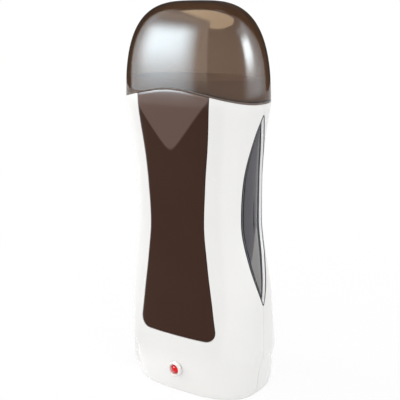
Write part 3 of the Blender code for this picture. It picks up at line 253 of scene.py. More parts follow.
def prism(outline: Sequence[tuple[float, float]], low: float, high: float, axis: str) -> Mesh:
    """Solid that carries a flat outline from low to high along X or Y.

    Args:
        outline: Points of the outline, in the two other coordinates.
        low: Where it starts.
        high: Where it ends.
        axis: "X" or "Y".

    Returns:
        The closed mesh.
    """
    mesh = bmesh.new()
    if axis == "X":
        points = [(low, first, second) for first, second in outline]
        move = (high - low, 0.0, 0.0)
    else:
        points = [(first, low, second) for first, second in outline]
        move = (0.0, high - low, 0.0)
    face = mesh.faces.new([mesh.verts.new(point) for point in points])
    made = bmesh.ops.extrude_face_region(mesh, geom=[face], use_keep_orig=True)["geom"]
    bmesh.ops.translate(mesh, vec=move, verts=[v for v in made if isinstance(v, bmesh.types.BMVert)])
    return outward(mesh)


def bevelled(mesh: Mesh, offset: float, angle: float = 40.0, segments: int = 3) -> Mesh:
    """Round every edge that is sharper than an angle in degrees."""
    limit = math.radians(angle)
    edges = [e for e in mesh.edges if len(e.link_faces) == 2 and e.calc_face_angle(0.0) > limit]
    bmesh.ops.bevel(
        mesh, geom=edges, offset=offset, segments=segments, profile=0.5,
        affect="EDGES", material=-1, clamp_overlap=True,
    )
    return mesh


def brick(low: Sequence[float], high: Sequence[float], edge: float = 0.0) -> Mesh:
    """Box between two corners, with its edges rounded if an edge is given."""
    mesh = bmesh.new()
    low, high = Vector(low), Vector(high)
    bmesh.ops.create_cube(mesh, size=1.0)
    bmesh.ops.scale(mesh, vec=high - low, verts=mesh.verts)
    bmesh.ops.translate(mesh, vec=(low + high) / 2, verts=mesh.verts)
    return bevelled(mesh, edge) if edge else mesh


def stood(mesh: Mesh, axis: str, place: Sequence[float]) -> Mesh:
    """Turn a form a quarter round an axis, then move it to its place."""
    turn = Matrix.Rotation(math.pi / 2, 3, axis)
    bmesh.ops.rotate(mesh, cent=(0, 0, 0), matrix=turn, verts=mesh.verts)
    bmesh.ops.translate(mesh, vec=place, verts=mesh.verts)
    return mesh


def rod(
    radius: float, start: float, end: float, across: float, height: float, sides: int = 48
) -> Mesh:
    """Round bar along Y between two depths."""
    mesh = bmesh.new()
    bmesh.ops.create_cone(
        mesh, cap_ends=True, segments=sides, radius1=radius, radius2=radius, depth=abs(end - start)
    )
    return stood(mesh, "X", (across, (start + end) / 2, height))


def stored(name: str, mesh: Mesh) -> bpy.types.Object:
    """Object in the scene with a mesh, which is used up."""
    data = bpy.data.meshes.new(name)
    mesh.to_mesh(data)
    mesh.free()
    item = bpy.data.objects.new(name, data)
    bpy.context.scene.collection.objects.link(item)
    return item

class Cut(Enum):
    """What a tool does to the form it meets."""

    AWAY = "DIFFERENCE"
    ADD = "UNION"


def worked(mesh: Mesh, steps: Sequence[tuple[Cut, Mesh]]) -> Mesh:
    """Form after each tool has been cut from it or added to it, in order.

    Args:
        mesh: The form, which is used up.
        steps: Each tool with what it does; the tools are used up.

    Returns:
        The worked mesh.
    """
    forms = [mesh] + [tool for _, tool in steps]
    made = [stored(f"working_{index}", form) for index, form in enumerate(forms)]
    for (cut, _), tool in zip(steps, made[1:]):
        modifier = made[0].modifiers.new(tool.name, "BOOLEAN")
        modifier.operation = cut.value
        modifier.solver = "EXACT"
        modifier.object = tool
    graph = bpy.context.evaluated_depsgraph_get()
    data = bpy.data.meshes.new_from_object(made[0].evaluated_get(graph))
    result = bmesh.new()
    result.from_mesh(data)
    bpy.data.meshes.remove(data)
    for item in made:
        old = item.data
        bpy.data.objects.remove(item, do_unlink=True)
        bpy.data.meshes.remove(old)
    return result


@dataclass(frozen=True)
class BodyForm:
    """Outer form of the heater, from its foot to the crown of its cover."""

    height: float = 0.205
    shoulder_half_width: float = 0.0419
    waist_half_width: float = 0.0355
    front_shoulder_depth: float = 0.0231
    front_waist_depth: float = 0.0205
    rear_foot_depth: float = 0.0407
    rear_waist_depth: float = 0.0227
    dome_height: float = 0.0631
    foot_edge_rise: float = 0.012
    foot_edge_inset: float = 0.001
    cover_height: float = 0.0502
    edge_arch: float = 0.0075
    wall: float = 0.0025
    cover_wall: float = 0.003
    gap: float = 0.0003
    seam: float = 0.00007
    overrun: float = 0.004
    front_exponent: float = 2.74
    rear_exponent: float = 2.2
    dome_exponent: float = 3.2
    edge_exponent: float = 1.38
    edge_turn: float = 0.25
    ring_sides: int = 128
    width_shares: Stations = (
        (0.0, 0.20), (0.06, 0.38), (0.12, 0.88), (0.24, 0.84), (0.36, 0.38),
        (0.46, 0.0), (0.56, 0.08), (0.68, 0.50), (0.76, 0.94), (1.0, 1.0),
    )
    front_shares: Stations = (
        (0.0, 0.35), (0.12, 0.88), (0.28, 0.38), (0.46, 0.0), (0.62, 0.23), (0.76, 1.0), (1.0, 0.92),
    )
    rear_shares: Stations = (
        (0.0, 1.0), (0.12, 0.66), (0.28, 0.32), (0.46, 0.08), (0.62, 0.0), (0.76, 0.06), (1.0, 0.09),
    )

    @property
    def angles(self) -> list[float]:
        """Angles of a whole section's points, anticlockwise from the left."""
        return evenly(math.pi, 3 * math.pi, self.ring_sides)[:-1]

    @property
    def middle(self) -> float:
        """How far the joint between the shells lies in front of the object's middle."""
        return (self.rear_foot_depth - self.front_shoulder_depth) / 2

    @property
    def edge_height(self) -> float:
        """Height of the cover's edge at the sides."""
        return self.height - self.cover_height

    @property
    def arch_top(self) -> float:
        """Height of the cover's edge at the front and the back."""
        return self.edge_height + self.edge_arch

    def dome_share(self, height: float, inset: float) -> float:
        """Share of the full section that is left at a height inside the rounded top."""
        rise = (height - self.height + self.dome_height) / (self.dome_height - inset)
        rise = min(max(rise, 0.0), 1.0)
        return (1 - rise**self.dome_exponent) ** (1 / self.dome_exponent)

    def foot_inset(self, height: float) -> float:
        """How far the wall draws in towards the foot's edge."""
        drop = 1 - height / self.foot_edge_rise
        if drop <= 0:
            return 0.0
        return self.foot_edge_inset * (1 - math.sqrt(1 - min(drop, 1.0) ** 2))

    def section(self, height: float, inset: float = 0.0) -> tuple[float, float, float]:
        """Half-width, front depth and rear depth at a height, drawn in by an inset."""
        place = height / self.height
        trim = inset + self.foot_inset(height)
        keep = self.dome_share(height, inset)
        wide = self.shoulder_half_width - self.waist_half_width
        front_rise = self.front_shoulder_depth - self.front_waist_depth
        rear_rise = self.rear_foot_depth - self.rear_waist_depth
        width = self.waist_half_width + curve_through(self.width_shares, place) * wide
        front = self.front_waist_depth + curve_through(self.front_shares, place) * front_rise
        rear = self.rear_waist_depth + curve_through(self.rear_shares, place) * rear_rise
        return (width - trim) * keep, (front - trim) * keep, (rear - trim) * keep

    def point(self, height: float, inset: float, angle: float) -> Vector:
        """Point of the section at an angle counted from +X."""
        width, front, rear = self.section(height, inset)
        across, along = math.cos(angle), math.sin(angle)
        depth, exponent = (front, self.front_exponent) if along < 0 else (rear, self.rear_exponent)
        return Vector((width * power(across, exponent), depth * power(along, exponent), height))

    def ring(self, height: float, inset: float = 0.0) -> list[Vector]:
        """Whole section at a height, anticlockwise from the left."""
        return [self.point(height, inset, angle) for angle in self.angles]

    def edge(self, across: float) -> float:
        """Height of the cover's edge at a distance from the middle."""
        share = min(abs(across) / self.shoulder_half_width, 1.0)
        turn, power_of = self.edge_turn, self.edge_exponent
        if share < turn:
            fall = turn**power_of * (1 + power_of / 2 * ((share / turn) ** 2 - 1))
        else:
            fall = share**power_of
        return self.edge_height + self.edge_arch * (1 - fall)

    def edge_ring(self, share: float, top: float, inset: float, shift: float) -> list[Vector]:
        """Section that turns from the cover's arched edge into a level ring.

        Args:
            share: 0 on the arched edge, 1 on the level ring.
            top: Height of the level ring.
            inset: How far it is drawn in.
            shift: How far above the edge it starts.

        Returns:
            Points of the ring, anticlockwise from the left.
        """
        points = []
        for angle in self.angles:
            height = top
            for _ in range(3):
                across = self.point(height, inset, angle).x
                start = self.edge(across) + shift
                height = start + (top - start) * share
            points.append(self.point(height, inset, angle))
        return points

    def front_face(self, across: float, height: float, inset: float = 0.0) -> float:
        """Depth coordinate of the front surface, drawn in by an inset."""
        width, front, _ = self.section(height, inset)
        share = min(abs(across) / width, 1.0)
        return -front * (1 - share**self.front_exponent) ** (1 / self.front_exponent)

    def side_face(self, depth: float, height: float, inset: float = 0.0) -> float:
        """Distance of the side surface from the middle plane, drawn in by an inset."""
        width, front, rear = self.section(height, inset)
        reach, exponent = (front, self.front_exponent) if depth < 0 else (rear, self.rear_exponent)
        share = min(abs(depth) / reach, 1.0)
        return width * (1 - share**exponent) ** (1 / exponent)


FORM = BodyForm()


def oblong(height: float, half_width: float, half_depth: float, exponent: float = 2.6) -> list[Vector]:
    """Rounded oblong with as many points as the body's section, round the cup's centre."""
    points = []
    for angle in FORM.angles:
        across = half_width * power(math.cos(angle), exponent)
        along = half_depth * power(math.sin(angle), exponent)
        points.append(Vector((across, HeatingCup.centre + along, height)))
    return points


def feed(tree: Tree, node: Node, values: dict[str | int, object]) -> None:
    """Link each value that is a socket into its input of a node, and set any other on it."""
    for label, value in values.items():
        socket = node.inputs[label]
        if isinstance(value, Socket):
            tree.links.new(value, socket)
        else:
            socket.default_value = (*value, 1.0) if socket.type == "RGBA" else value


def added(tree: Tree, kind: str, values: dict[str | int, object], **settings: str) -> Node:
    """New node of a kind, set up and then fed with its values."""
    node = tree.nodes.new(f"ShaderNode{kind}")
    for label, value in settings.items():
        setattr(node, label, value)
    feed(tree, node, values)
    return node


def computed(tree: Tree, operation: str, *values: object) -> Socket:
    """Result of a Math node on sockets or numbers."""
    return added(tree, "Math", dict(enumerate(values)), operation=operation).outputs[0]


def weighed(tree: Tree, base: float, parts: Sequence[tuple[Socket, float]]) -> Socket:
    """A base number plus each socket times its weight."""
    total: object = base
    for socket, weight in parts:
        total = computed(tree, "MULTIPLY_ADD", socket, weight, total)
    return total


def spanned(tree: Tree, value: Socket, span: Sequence[float], easing: str = "LINEAR") -> Socket:
    """Value carried from one span to another, 0 to 1 if left out, and held inside it."""
    values = {0: value, **dict(enumerate(span, start=1))}
    return added(tree, "MapRange", values, interpolation_type=easing).outputs["Result"]


def noise(tree: Tree, vector: Socket, scale: object, detail: float, rough: float = 0.5) -> Socket:
    """Value of a Noise Texture node, from 0 to 1."""
    values = {"Vector": vector, "Scale": scale, "Detail": detail, "Roughness": rough}
    return added(tree, "TexNoise", values).outputs["Fac"]


def blended(tree: Tree, mask: object, first: object, second: object) -> Socket:
    """Colour mixed from two colours or sockets by a mask."""
    return added(tree, "Mix", {0: mask, 6: first, 7: second}, data_type="RGBA").outputs[2]


def show_mixed(tree: Tree, share: Socket, under: Socket, over: Socket) -> None:
    """Give a material a surface that turns from one shader to another by a share."""
    mix = added(tree, "MixShader", {0: share, 1: under, 2: over})
    feed(tree, tree.nodes["Material Output"], {"Surface": mix.outputs["Shader"]})


class Effects:
    """Shader node groups that several finishes share, each built when first asked for."""

    @staticmethod
    def start(name: str, inputs: dict[str, float], outputs: Sequence[str]) -> tuple[Tree, Node, Node]:
        """Group of a vector and numbers, with its input node and its output node."""
        tree = bpy.data.node_groups.new(name, "ShaderNodeTree")
        socket = tree.interface.new_socket
        socket(name="Vector", in_out="INPUT", socket_type="NodeSocketVector")
        for label, value in inputs.items():
            made = socket(name=label, in_out="INPUT", socket_type="NodeSocketFloat")
            made.default_value = value
        for label in outputs:
            socket(name=label, in_out="OUTPUT", socket_type="NodeSocketFloat")
        return tree, tree.nodes.new("NodeGroupInput"), tree.nodes.new("NodeGroupOutput")

    @cached_property
    def moulding(self) -> Tree:
        """Moulded plastic: broad tone, fine ripple of the skin, and haze of the gloss."""
        scales = {"Cloud Scale": 22.0, "Ripple Scale": 900.0}
        tree, source, result = self.start("moulded_skin", scales, ("Tone", "Haze", "Ripple"))
        vector = source.outputs["Vector"]
        cloud = noise(tree, vector, source.outputs["Cloud Scale"], 3.0)
        ripple = noise(tree, vector, source.outputs["Ripple Scale"], 2.0, 0.4)
        swell = noise(tree, vector, 75.0, 1.0)
        haze = noise(tree, vector, 140.0, 4.0, 0.65)
        feed(tree, result, {
            "Tone": spanned(tree, cloud, (0.3, 0.7)),
            "Haze": spanned(tree, haze, (0.38, 0.68)),
            "Ripple": computed(tree, "ADD", computed(tree, "MULTIPLY", ripple, 0.3), swell),
        })
        return tree

    @cached_property
    def scuffs(self) -> Tree:
        """Fine hairline scuffs: a mask of short thin lines in crossing directions."""
        tree, source, result = self.start("hairline_scuffs", {"Scale": 60.0}, ("Mask",))
        vector = source.outputs["Vector"]
        total = None
        for turn in (0.5, -0.9, 1.35):
            turned_place = added(tree, "Mapping", {
                "Vector": vector, "Rotation": (turn * 0.4, turn * 0.7, turn),
                "Scale": (14.0, 1.0, 9.0),
            })
            line = noise(tree, turned_place.outputs["Vector"], source.outputs["Scale"], 0.0)
            mask = spanned(tree, line, (0.70, 0.78))
            total = mask if total is None else computed(tree, "MAXIMUM", total, mask)
        shown = spanned(tree, noise(tree, vector, 28.0, 2.0), (0.45, 0.7))
        feed(tree, result, {"Mask": computed(tree, "MULTIPLY", total, shown)})
        return tree

    @cached_property
    def dust(self) -> Tree:
        """Thin dust: specks and a film that gathers on faces that look up."""
        tree, source, result = self.start("settled_dust", {"Amount": 0.3}, ("Mask",))
        vector = source.outputs["Vector"]
        normal = added(tree, "NewGeometry", {}).outputs["Normal"]
        parts = added(tree, "SeparateXYZ", {"Vector": normal})
        upward = spanned(tree, parts.outputs["Z"], (0.2, 1.0, 0.1, 1.0))
        specks = spanned(tree, noise(tree, vector, 1400.0, 1.0), (0.68, 0.78))
        film = spanned(tree, noise(tree, vector, 45.0, 5.0, 0.6), (0.35, 0.8, 0.0, 0.5))
        lying = computed(tree, "MULTIPLY", computed(tree, "MAXIMUM", specks, film), upward)
        feed(tree, result, {"Mask": computed(tree, "MULTIPLY", lying, source.outputs["Amount"])})
        return tree

    @cached_property
    def drawing(self) -> Tree:
        """Drawn or brushed metal: long streaks along one axis, and stains."""
        tree, source, result = self.start("drawn_streaks", {"Scale": 240.0}, ("Streaks", "Stains"))
        vector = source.outputs["Vector"]
        along = added(tree, "Mapping", {"Vector": vector, "Scale": (6.0, 6.0, 0.25)})
        stain = noise(tree, vector, 60.0, 4.0, 0.6)
        feed(tree, result, {
            "Streaks": noise(tree, along.outputs["Vector"], source.outputs["Scale"], 3.0, 0.6),
            "Stains": spanned(tree, stain, (0.45, 0.75)),
        })
        return tree

    @cached_property
    def speckle(self) -> Tree:
        """Pressed, woven or cast stock: grains and pits."""
        tree, source, result = self.start("fine_grain", {"Scale": 700.0}, ("Grain", "Pits"))
        vector, scale = source.outputs["Vector"], source.outputs["Scale"]
        cells = added(tree, "TexVoronoi", {"Vector": vector, "Scale": scale})
        feed(tree, result, {
            "Grain": spanned(tree, noise(tree, vector, scale, 4.0, 0.6), (0.3, 0.7)),
            "Pits": spanned(tree, cells.outputs["Distance"], (0.0, 0.5)),
        })
        return tree


EFFECTS = Effects()


@dataclass(frozen=True)
class Finish:
    """Finish of a moulded plastic piece, and the base of the others.

    The tone runs between two near colours, a thin haze and scuffs break the gloss, dust
    lies on faces that look up, and a fine ripple bends the reflections.
    """

    name: str
    colour: Colour
    second: Colour
    roughness: float = 0.2
    haze: float = 0.06
    scuff: float = 0.1
    dust: float = 0.05
    ripple: float = 0.02
    ripple_scale: float = 900.0
    cloud_scale: float = 22.0
    metallic: float = 0.0
    coat: float = 0.0
    coat_roughness: float = 0.04
    ior: float = 1.5
    transmission: float = 0.0
    absorption: tuple[Colour, float] | None = None
    subsurface: float = 0.0
    glow: float = 0.0

    def material(self) -> bpy.types.Material:
        """The finish as a material, built the first time that it is asked for."""
        found = bpy.data.materials.get(self.name)
        if found is not None and found.get("dressed"):
            return found
        material = bpy.data.materials.new(self.name)
        material["dressed"] = True
        material.use_nodes = True
        material.diffuse_color = (*self.colour, 1.0)
        self.dress(material.node_tree)
        return material

    @staticmethod
    def object_place(tree: Tree) -> Socket:
        """Object coordinates, from one node for the whole tree."""
        source = tree.nodes.get("Object place")
        if source is None:
            source = added(tree, "TexCoord", {}, name="Object place")
        return source.outputs["Object"]

    def place(self, tree: Tree, group: Tree, values: dict[str, float] | None = None) -> Node:
        """Node of a shared effect, fed by Object coordinates, with its values set."""
        node = tree.nodes.new("ShaderNodeGroup")
        node.node_tree = group
        feed(tree, node, {"Vector": self.object_place(tree), **(values or {})})
        return node

    def constants(self, tree: Tree) -> None:
        """Set what is the same all over the surface, straight on the shader."""
        shader = tree.nodes["Principled BSDF"]
        feed(tree, shader, {
            "Metallic": self.metallic, "IOR": self.ior, "Transmission Weight": self.transmission,
            "Coat Weight": self.coat, "Coat Roughness": self.coat_roughness,
        })
        if self.subsurface:
            feed(tree, shader, {
                "Subsurface Weight": self.subsurface, "Subsurface Radius": (1.0, 0.9, 0.8),
                "Subsurface Scale": 0.001,
            })
        if self.glow:
            feed(tree, shader, {"Emission Strength": self.glow})
        if self.absorption is not None:
            colour, density = self.absorption
            volume = added(tree, "VolumeAbsorption", {"Color": colour, "Density": density})
            feed(tree, tree.nodes["Material Output"], {"Volume": volume.outputs["Volume"]})
            self.let_lamps_through(tree)

    def let_lamps_through(self, tree: Tree) -> None:
        """Let lamps shine through the piece."""
        path = added(tree, "LightPath", {})
        solid = weighed(tree, 1.0, [(path.outputs["Is Shadow Ray"], -self.transmission)])
        feed(tree, tree.nodes["Principled BSDF"], {"Alpha": solid})

    def shade(
        self, tree: Tree, colour: Socket, parts: Sequence[tuple[Socket, float]], height: Socket
    ) -> None:
        """Feed what changes over the surface into the shader.

        Args:
            tree: The material's node tree.
            colour: The base colour.
            parts: What is added to the roughness, each with its weight.
            height: Height of the ripple that bends the reflections.
        """
        bump = added(tree, "Bump", {
            "Strength": 1.0, "Distance": self.ripple * RIPPLE_UNIT, "Height": height,
        })
        feed(tree, tree.nodes["Principled BSDF"], {
            "Base Color": colour, "Roughness": weighed(tree, self.roughness, parts),
            "Normal": bump.outputs["Normal"],
        })

    @staticmethod
    def lay_over(tree: Tree, mask: Socket, colour: Colour) -> None:
        """Lay a colour over the base colour where a mask is 1."""
        base = tree.nodes["Principled BSDF"].inputs["Base Color"]
        tree.links.new(blended(tree, mask, base.links[0].from_socket, colour), base)

    def dress(self, tree: Tree) -> None:
        """Build the finish's nodes."""
        self.constants(tree)
        scales = {"Cloud Scale": self.cloud_scale, "Ripple Scale": self.ripple_scale}
        skin = self.place(tree, EFFECTS.moulding, scales).outputs
        scuffs = self.place(tree, EFFECTS.scuffs).outputs["Mask"]
        dust = self.place(tree, EFFECTS.dust, {"Amount": self.dust}).outputs["Mask"]
        toned = blended(tree, skin["Tone"], self.colour, self.second)
        parts = [(skin["Haze"], self.haze), (scuffs, self.scuff), (dust, DUST_ROUGHNESS)]
        self.shade(tree, blended(tree, dust, toned, DUST_COLOUR), parts, skin["Ripple"])
        if self.glow:
            feed(tree, tree.nodes["Principled BSDF"], {"Emission Color": toned})


@dataclass(frozen=True)
class PaintedReflectionFinish(Finish):
    """Moulded finish with a painted reflection: a lighter field that hangs in a rounded V from the panel's
    top.
    """

    # painted reflection: colour of the lighter V, then its place, slope, tilt, rounding and blur
    field: Colour = (0.128, 0.082, 0.068)
    reflection_across: float = -0.0021
    reflection_bottom: float = 0.1315
    reflection_slope: float = 1.21
    reflection_tilt: float = 0.015
    reflection_turn: float = 0.003
    reflection_blur: float = 0.0011

    def mask(self, tree: Tree) -> Socket:
        """Mask that is 1 inside the painted reflection."""
        parts = added(tree, "SeparateXYZ", {"Vector": self.object_place(tree)}).outputs
        across = weighed(tree, -self.reflection_across, [(parts["X"], 1.0)])
        squared = computed(tree, "ADD", computed(tree, "POWER", across, 2.0), self.reflection_turn**2)
        over = weighed(tree, self.reflection_slope * self.reflection_turn - self.reflection_bottom, [
            (computed(tree, "SQRT", squared), -self.reflection_slope), (across, self.reflection_tilt),
            (parts["Z"], 1.0),
        ])
        return spanned(tree, over, (-self.reflection_blur, self.reflection_blur), "SMOOTHSTEP")

    def dress(self, tree: Tree) -> None:
        """Build the finish's nodes, then lay the painted reflection over the colour."""
        super().dress(tree)
        self.lay_over(tree, self.mask(tree), self.field)


@dataclass(frozen=True)
class WindowFinish(Finish):
    """Clear moulded finish with a painted reflection: its lower rear part is painted paler."""

    # painted reflection: colour of the paler patch, then the height, slope, place, blur, fade and wander
    # of its border
    pale: Colour = (0.50, 0.49, 0.48)
    pale_top: float = 0.0885
    pale_slope: float = 0.43
    pale_front: float = 0.0015
    pale_blur: float = 0.0007
    pale_fade: float = 0.004
    pale_wander: float = 0.0012

    def mask(self, tree: Tree) -> Socket:
        """Mask that is 1 in the painted reflection."""
        groups = (node for node in tree.nodes if node.type == "GROUP")
        skin = next(node for node in groups if node.node_tree == EFFECTS.moulding)
        parts = added(tree, "SeparateXYZ", {"Vector": self.object_place(tree)}).outputs
        place = weighed(tree, self.pale_slope * self.pale_top - self.pale_front, [
            (parts["Y"], 1.0), (parts["Z"], -self.pale_slope),
            (skin.outputs["Tone"], self.pale_wander),
        ])
        ends = (-FORM.middle - self.pale_blur, -FORM.middle + self.pale_blur)
        behind = spanned(tree, place, ends, "SMOOTHSTEP")
        fade = (self.pale_top + self.pale_fade, self.pale_top)
        return computed(tree, "MULTIPLY", behind, spanned(tree, parts["Z"], fade, "SMOOTHSTEP"))

    def dress(self, tree: Tree) -> None:
        """Build the finish's nodes, then lay the painted reflection over the colour."""
        super().dress(tree)
        self.lay_over(tree, self.mask(tree), self.pale)


@dataclass(frozen=True)
class MetalFinish(Finish):
    """Finish of drawn, rolled or plated metal."""

    streak_scale: float = 240.0
    stain: Colour = (0.35, 0.33, 0.30)
    stain_share: float = 0.25
    stain_roughness: float = 0.08

    def dress(self, tree: Tree) -> None:
        """Build the finish's nodes."""
        self.constants(tree)
        drawn = self.place(tree, EFFECTS.drawing, {"Scale": self.streak_scale}).outputs
        scuffs = self.place(tree, EFFECTS.scuffs).outputs["Mask"]
        toned = blended(tree, drawn["Streaks"], self.colour, self.second)
        amount = weighed(tree, 0.0, [(drawn["Stains"], self.stain_share)])
        parts = [
            (drawn["Streaks"], self.haze), (drawn["Stains"], self.stain_roughness),
            (scuffs, self.scuff),
        ]
        self.shade(tree, blended(tree, amount, toned, self.stain), parts, drawn["Streaks"])


@dataclass(frozen=True)
class GrainFinish(Finish):
    """Finish of ceramic, pressed sheet, board, silicone and lead insulation."""

    grain_scale: float = 700.0
    grain: float = 0.6

    def dress(self, tree: Tree) -> None:
        """Build the finish's nodes."""
        self.constants(tree)
        speckle = self.place(tree, EFFECTS.speckle, {"Scale": self.grain_scale}).outputs
        dust = self.place(tree, EFFECTS.dust, {"Amount": self.dust}).outputs["Mask"]
        mask = weighed(tree, 0.0, [(speckle["Grain"], self.grain)])
        toned = blended(tree, mask, self.colour, self.second)
        parts = [(speckle["Grain"], self.haze), (dust, DUST_ROUGHNESS)]
        self.shade(tree, blended(tree, dust, toned, DUST_COLOUR), parts, speckle["Pits"])


@dataclass(frozen=True)
class Finishes:
    """Every finish of the heater."""

    shell: Finish = Finish(
        "white_shell_gloss", (0.86, 0.855, 0.84), (0.83, 0.825, 0.81), roughness=0.16,
        coat=0.3, ripple=0.008, dust=0.03,
    )
    collar: Finish = Finish(
        "ivory_collar_satin", (0.90, 0.79, 0.67), (0.87, 0.76, 0.64), roughness=0.6, ripple=0.01,
    )
    # the lighter V at the panel's top is a painted reflection
    panel: Finish = PaintedReflectionFinish(
        "brown_panel_gloss", (0.052, 0.026, 0.018), (0.046, 0.022, 0.016), roughness=0.08,
        haze=0.04, ior=1.42, ripple=0.004, dust=0.02,
    )
    cover: Finish = Finish(
        "smoke_brown_cover", (0.96, 0.94, 0.92), (0.93, 0.90, 0.88), roughness=0.03, haze=0.03,
        scuff=0.05,
        transmission=1.0, ior=1.49, absorption=((0.36, 0.18, 0.0), 455.0), ripple=0.004, dust=0.02,
    )
    cover_edge: Finish = Finish(
        "frosted_cover_edge", (0.17, 0.125, 0.10), (0.15, 0.11, 0.088), roughness=0.2, haze=0.1,
        ripple=0.01,
    )
    # the window's paler lower rear part is a painted reflection
    lens: Finish = WindowFinish(
        "smoke_grey_window", (0.18, 0.172, 0.198), (0.16, 0.153, 0.176), roughness=0.03, haze=0.03,
        transmission=0.6, ior=1.49, absorption=((0.06, 0.0, 0.08), 60.0), ripple=0.003, dust=0.02,
    )
    # the seal is black so that the line between lens and trim shows as painted shade of the gap round the
    # lens
    seal: Finish = Finish(
        "black_window_seal_painted_shade", (0.012, 0.012, 0.014), (0.018, 0.018, 0.020), roughness=0.5, haze=0.1,
        ior=1.25, ripple=0.02,
    )
    trim: Finish = Finish(
        "white_window_trim", (0.84, 0.84, 0.85), (0.80, 0.80, 0.81), roughness=0.2, ripple=0.004,
    )
    bezel: Finish = Finish(
        "white_bezel", (0.84, 0.82, 0.81), (0.81, 0.79, 0.78), roughness=0.18, subsurface=0.2,
        ripple=0.004,
    )
    lamp: Finish = Finish(
        "red_lamp_lens", (0.74, 0.004, 0.008), (0.60, 0.003, 0.006), roughness=0.12,
        transmission=0.1,
        ior=1.38, glow=0.22, ripple=0.003, cloud_scale=300.0,
    )
    black: Finish = Finish(
        "black_moulding", (0.014, 0.014, 0.015), (0.022, 0.022, 0.024), roughness=0.34, haze=0.1,
        ripple=0.05,
    )
    cradle: Finish = Finish(
        "heatproof_moulding", (0.72, 0.69, 0.62), (0.66, 0.63, 0.56), roughness=0.45, ripple=0.04,
    )
    aluminium: Finish = MetalFinish(
        "drawn_aluminium", (0.80, 0.80, 0.82), (0.66, 0.66, 0.68), roughness=0.24, haze=0.16,
        metallic=1.0, ripple=0.01,
    )
    steel: Finish = MetalFinish(
        "plated_steel", (0.62, 0.62, 0.64), (0.50, 0.50, 0.52), roughness=0.22, haze=0.14,
        metallic=1.0, ripple=0.008,
    )
    brass: Finish = MetalFinish(
        "brass_pin", (0.83, 0.68, 0.36), (0.72, 0.55, 0.25), roughness=0.2, haze=0.12, metallic=1.0,
        ripple=0.006,
        stain=(0.35, 0.22, 0.08),
    )
    tin: Finish = MetalFinish(
        "tinned_can", (0.72, 0.72, 0.73), (0.6, 0.6, 0.62), roughness=0.3, haze=0.15, metallic=1.0,
        ripple=0.01,
    )
    ceramic: Finish = GrainFinish(
        "ceramic_heater", (0.78, 0.75, 0.68), (0.66, 0.62, 0.55), roughness=0.6, grain_scale=900.0,
        ripple=0.05,
    )
    mica: Finish = GrainFinish(
        "mica_sheet", (0.62, 0.52, 0.36), (0.48, 0.39, 0.26), roughness=0.3, grain_scale=500.0,
        ripple=0.03,
    )
    silicone: Finish = GrainFinish(
        "silicone_rest", (0.42, 0.42, 0.43), (0.36, 0.36, 0.37), roughness=0.55, grain_scale=1200.0,
        ripple=0.03,
    )
    board: Finish = GrainFinish(
        "lacquered_board", (0.03, 0.18, 0.07), (0.05, 0.24, 0.10), roughness=0.3,
        grain_scale=1600.0, ripple=0.03,
    )
    resistor: Finish = GrainFinish(
        "resistor_enamel", (0.33, 0.48, 0.58), (0.28, 0.42, 0.52), roughness=0.35,
        grain_scale=1500.0, ripple=0.01,
    )
    brown_wire: Finish = GrainFinish(
        "brown_insulation", (0.14, 0.055, 0.025), (0.11, 0.042, 0.02), roughness=0.4,
        grain_scale=1500.0, ripple=0.01,
    )
    blue_wire: Finish = GrainFinish(
        "blue_insulation", (0.03, 0.10, 0.38), (0.025, 0.08, 0.30), roughness=0.4,
        grain_scale=1500.0, ripple=0.01,
    )
    black_wire: Finish = GrainFinish(
        "black_insulation", (0.018, 0.018, 0.019), (0.026, 0.026, 0.027), roughness=0.4,
        grain_scale=1500.0, ripple=0.01,
    )


FINISHES = Finishes()


class Workshop:
    """Turns meshes into placed, dressed pieces of the model."""

    def piece(
        self, name: str, mesh: Mesh, finish: Finish, stands_for: str,
        body: Body = Body.HEATER, sharp: float = 32.0,
    ) -> bpy.types.Object:
        """Object from a mesh in body coordinates.

        Args:
            name: Name of the piece.
            mesh: Its mesh, which is used up.
            finish: Its finish.
            stands_for: CAD node that it replaces.
            body: The body that it rides on.
            sharp: Angle in degrees past which an edge is shown sharp.

        Returns:
            The new object.
        """
        bmesh.ops.translate(mesh, vec=(0.0, -FORM.middle, 0.0), verts=mesh.verts)
        item = stored(name, mesh)
        item.data.materials.append(finish.material())
        item.data.shade_smooth()
        item.data.set_sharp_from_angle(angle=math.radians(sharp))
        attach(item, body.value)
        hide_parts(stands_for)
        log.info("%s: %d faces, %s", name, len(item.data.polygons), finish.name)
        return item

    def dress(self, frame: dict, finishes: dict[str, Finish]) -> None:
        """Give CAD nodes that stay their finishes.

        Args:
            frame: The loaded model.
            finishes: Finish of each node, by the node's name.
        """
        for name, finish in finishes.items():
            item = frame["nodes"][name]
            if not item.material_slots:
                item.data.materials.append(finish.material())
            for slot in item.material_slots:
                slot.material = finish.material()
            log.info("%s: CAD node, %s", name, finish.name)


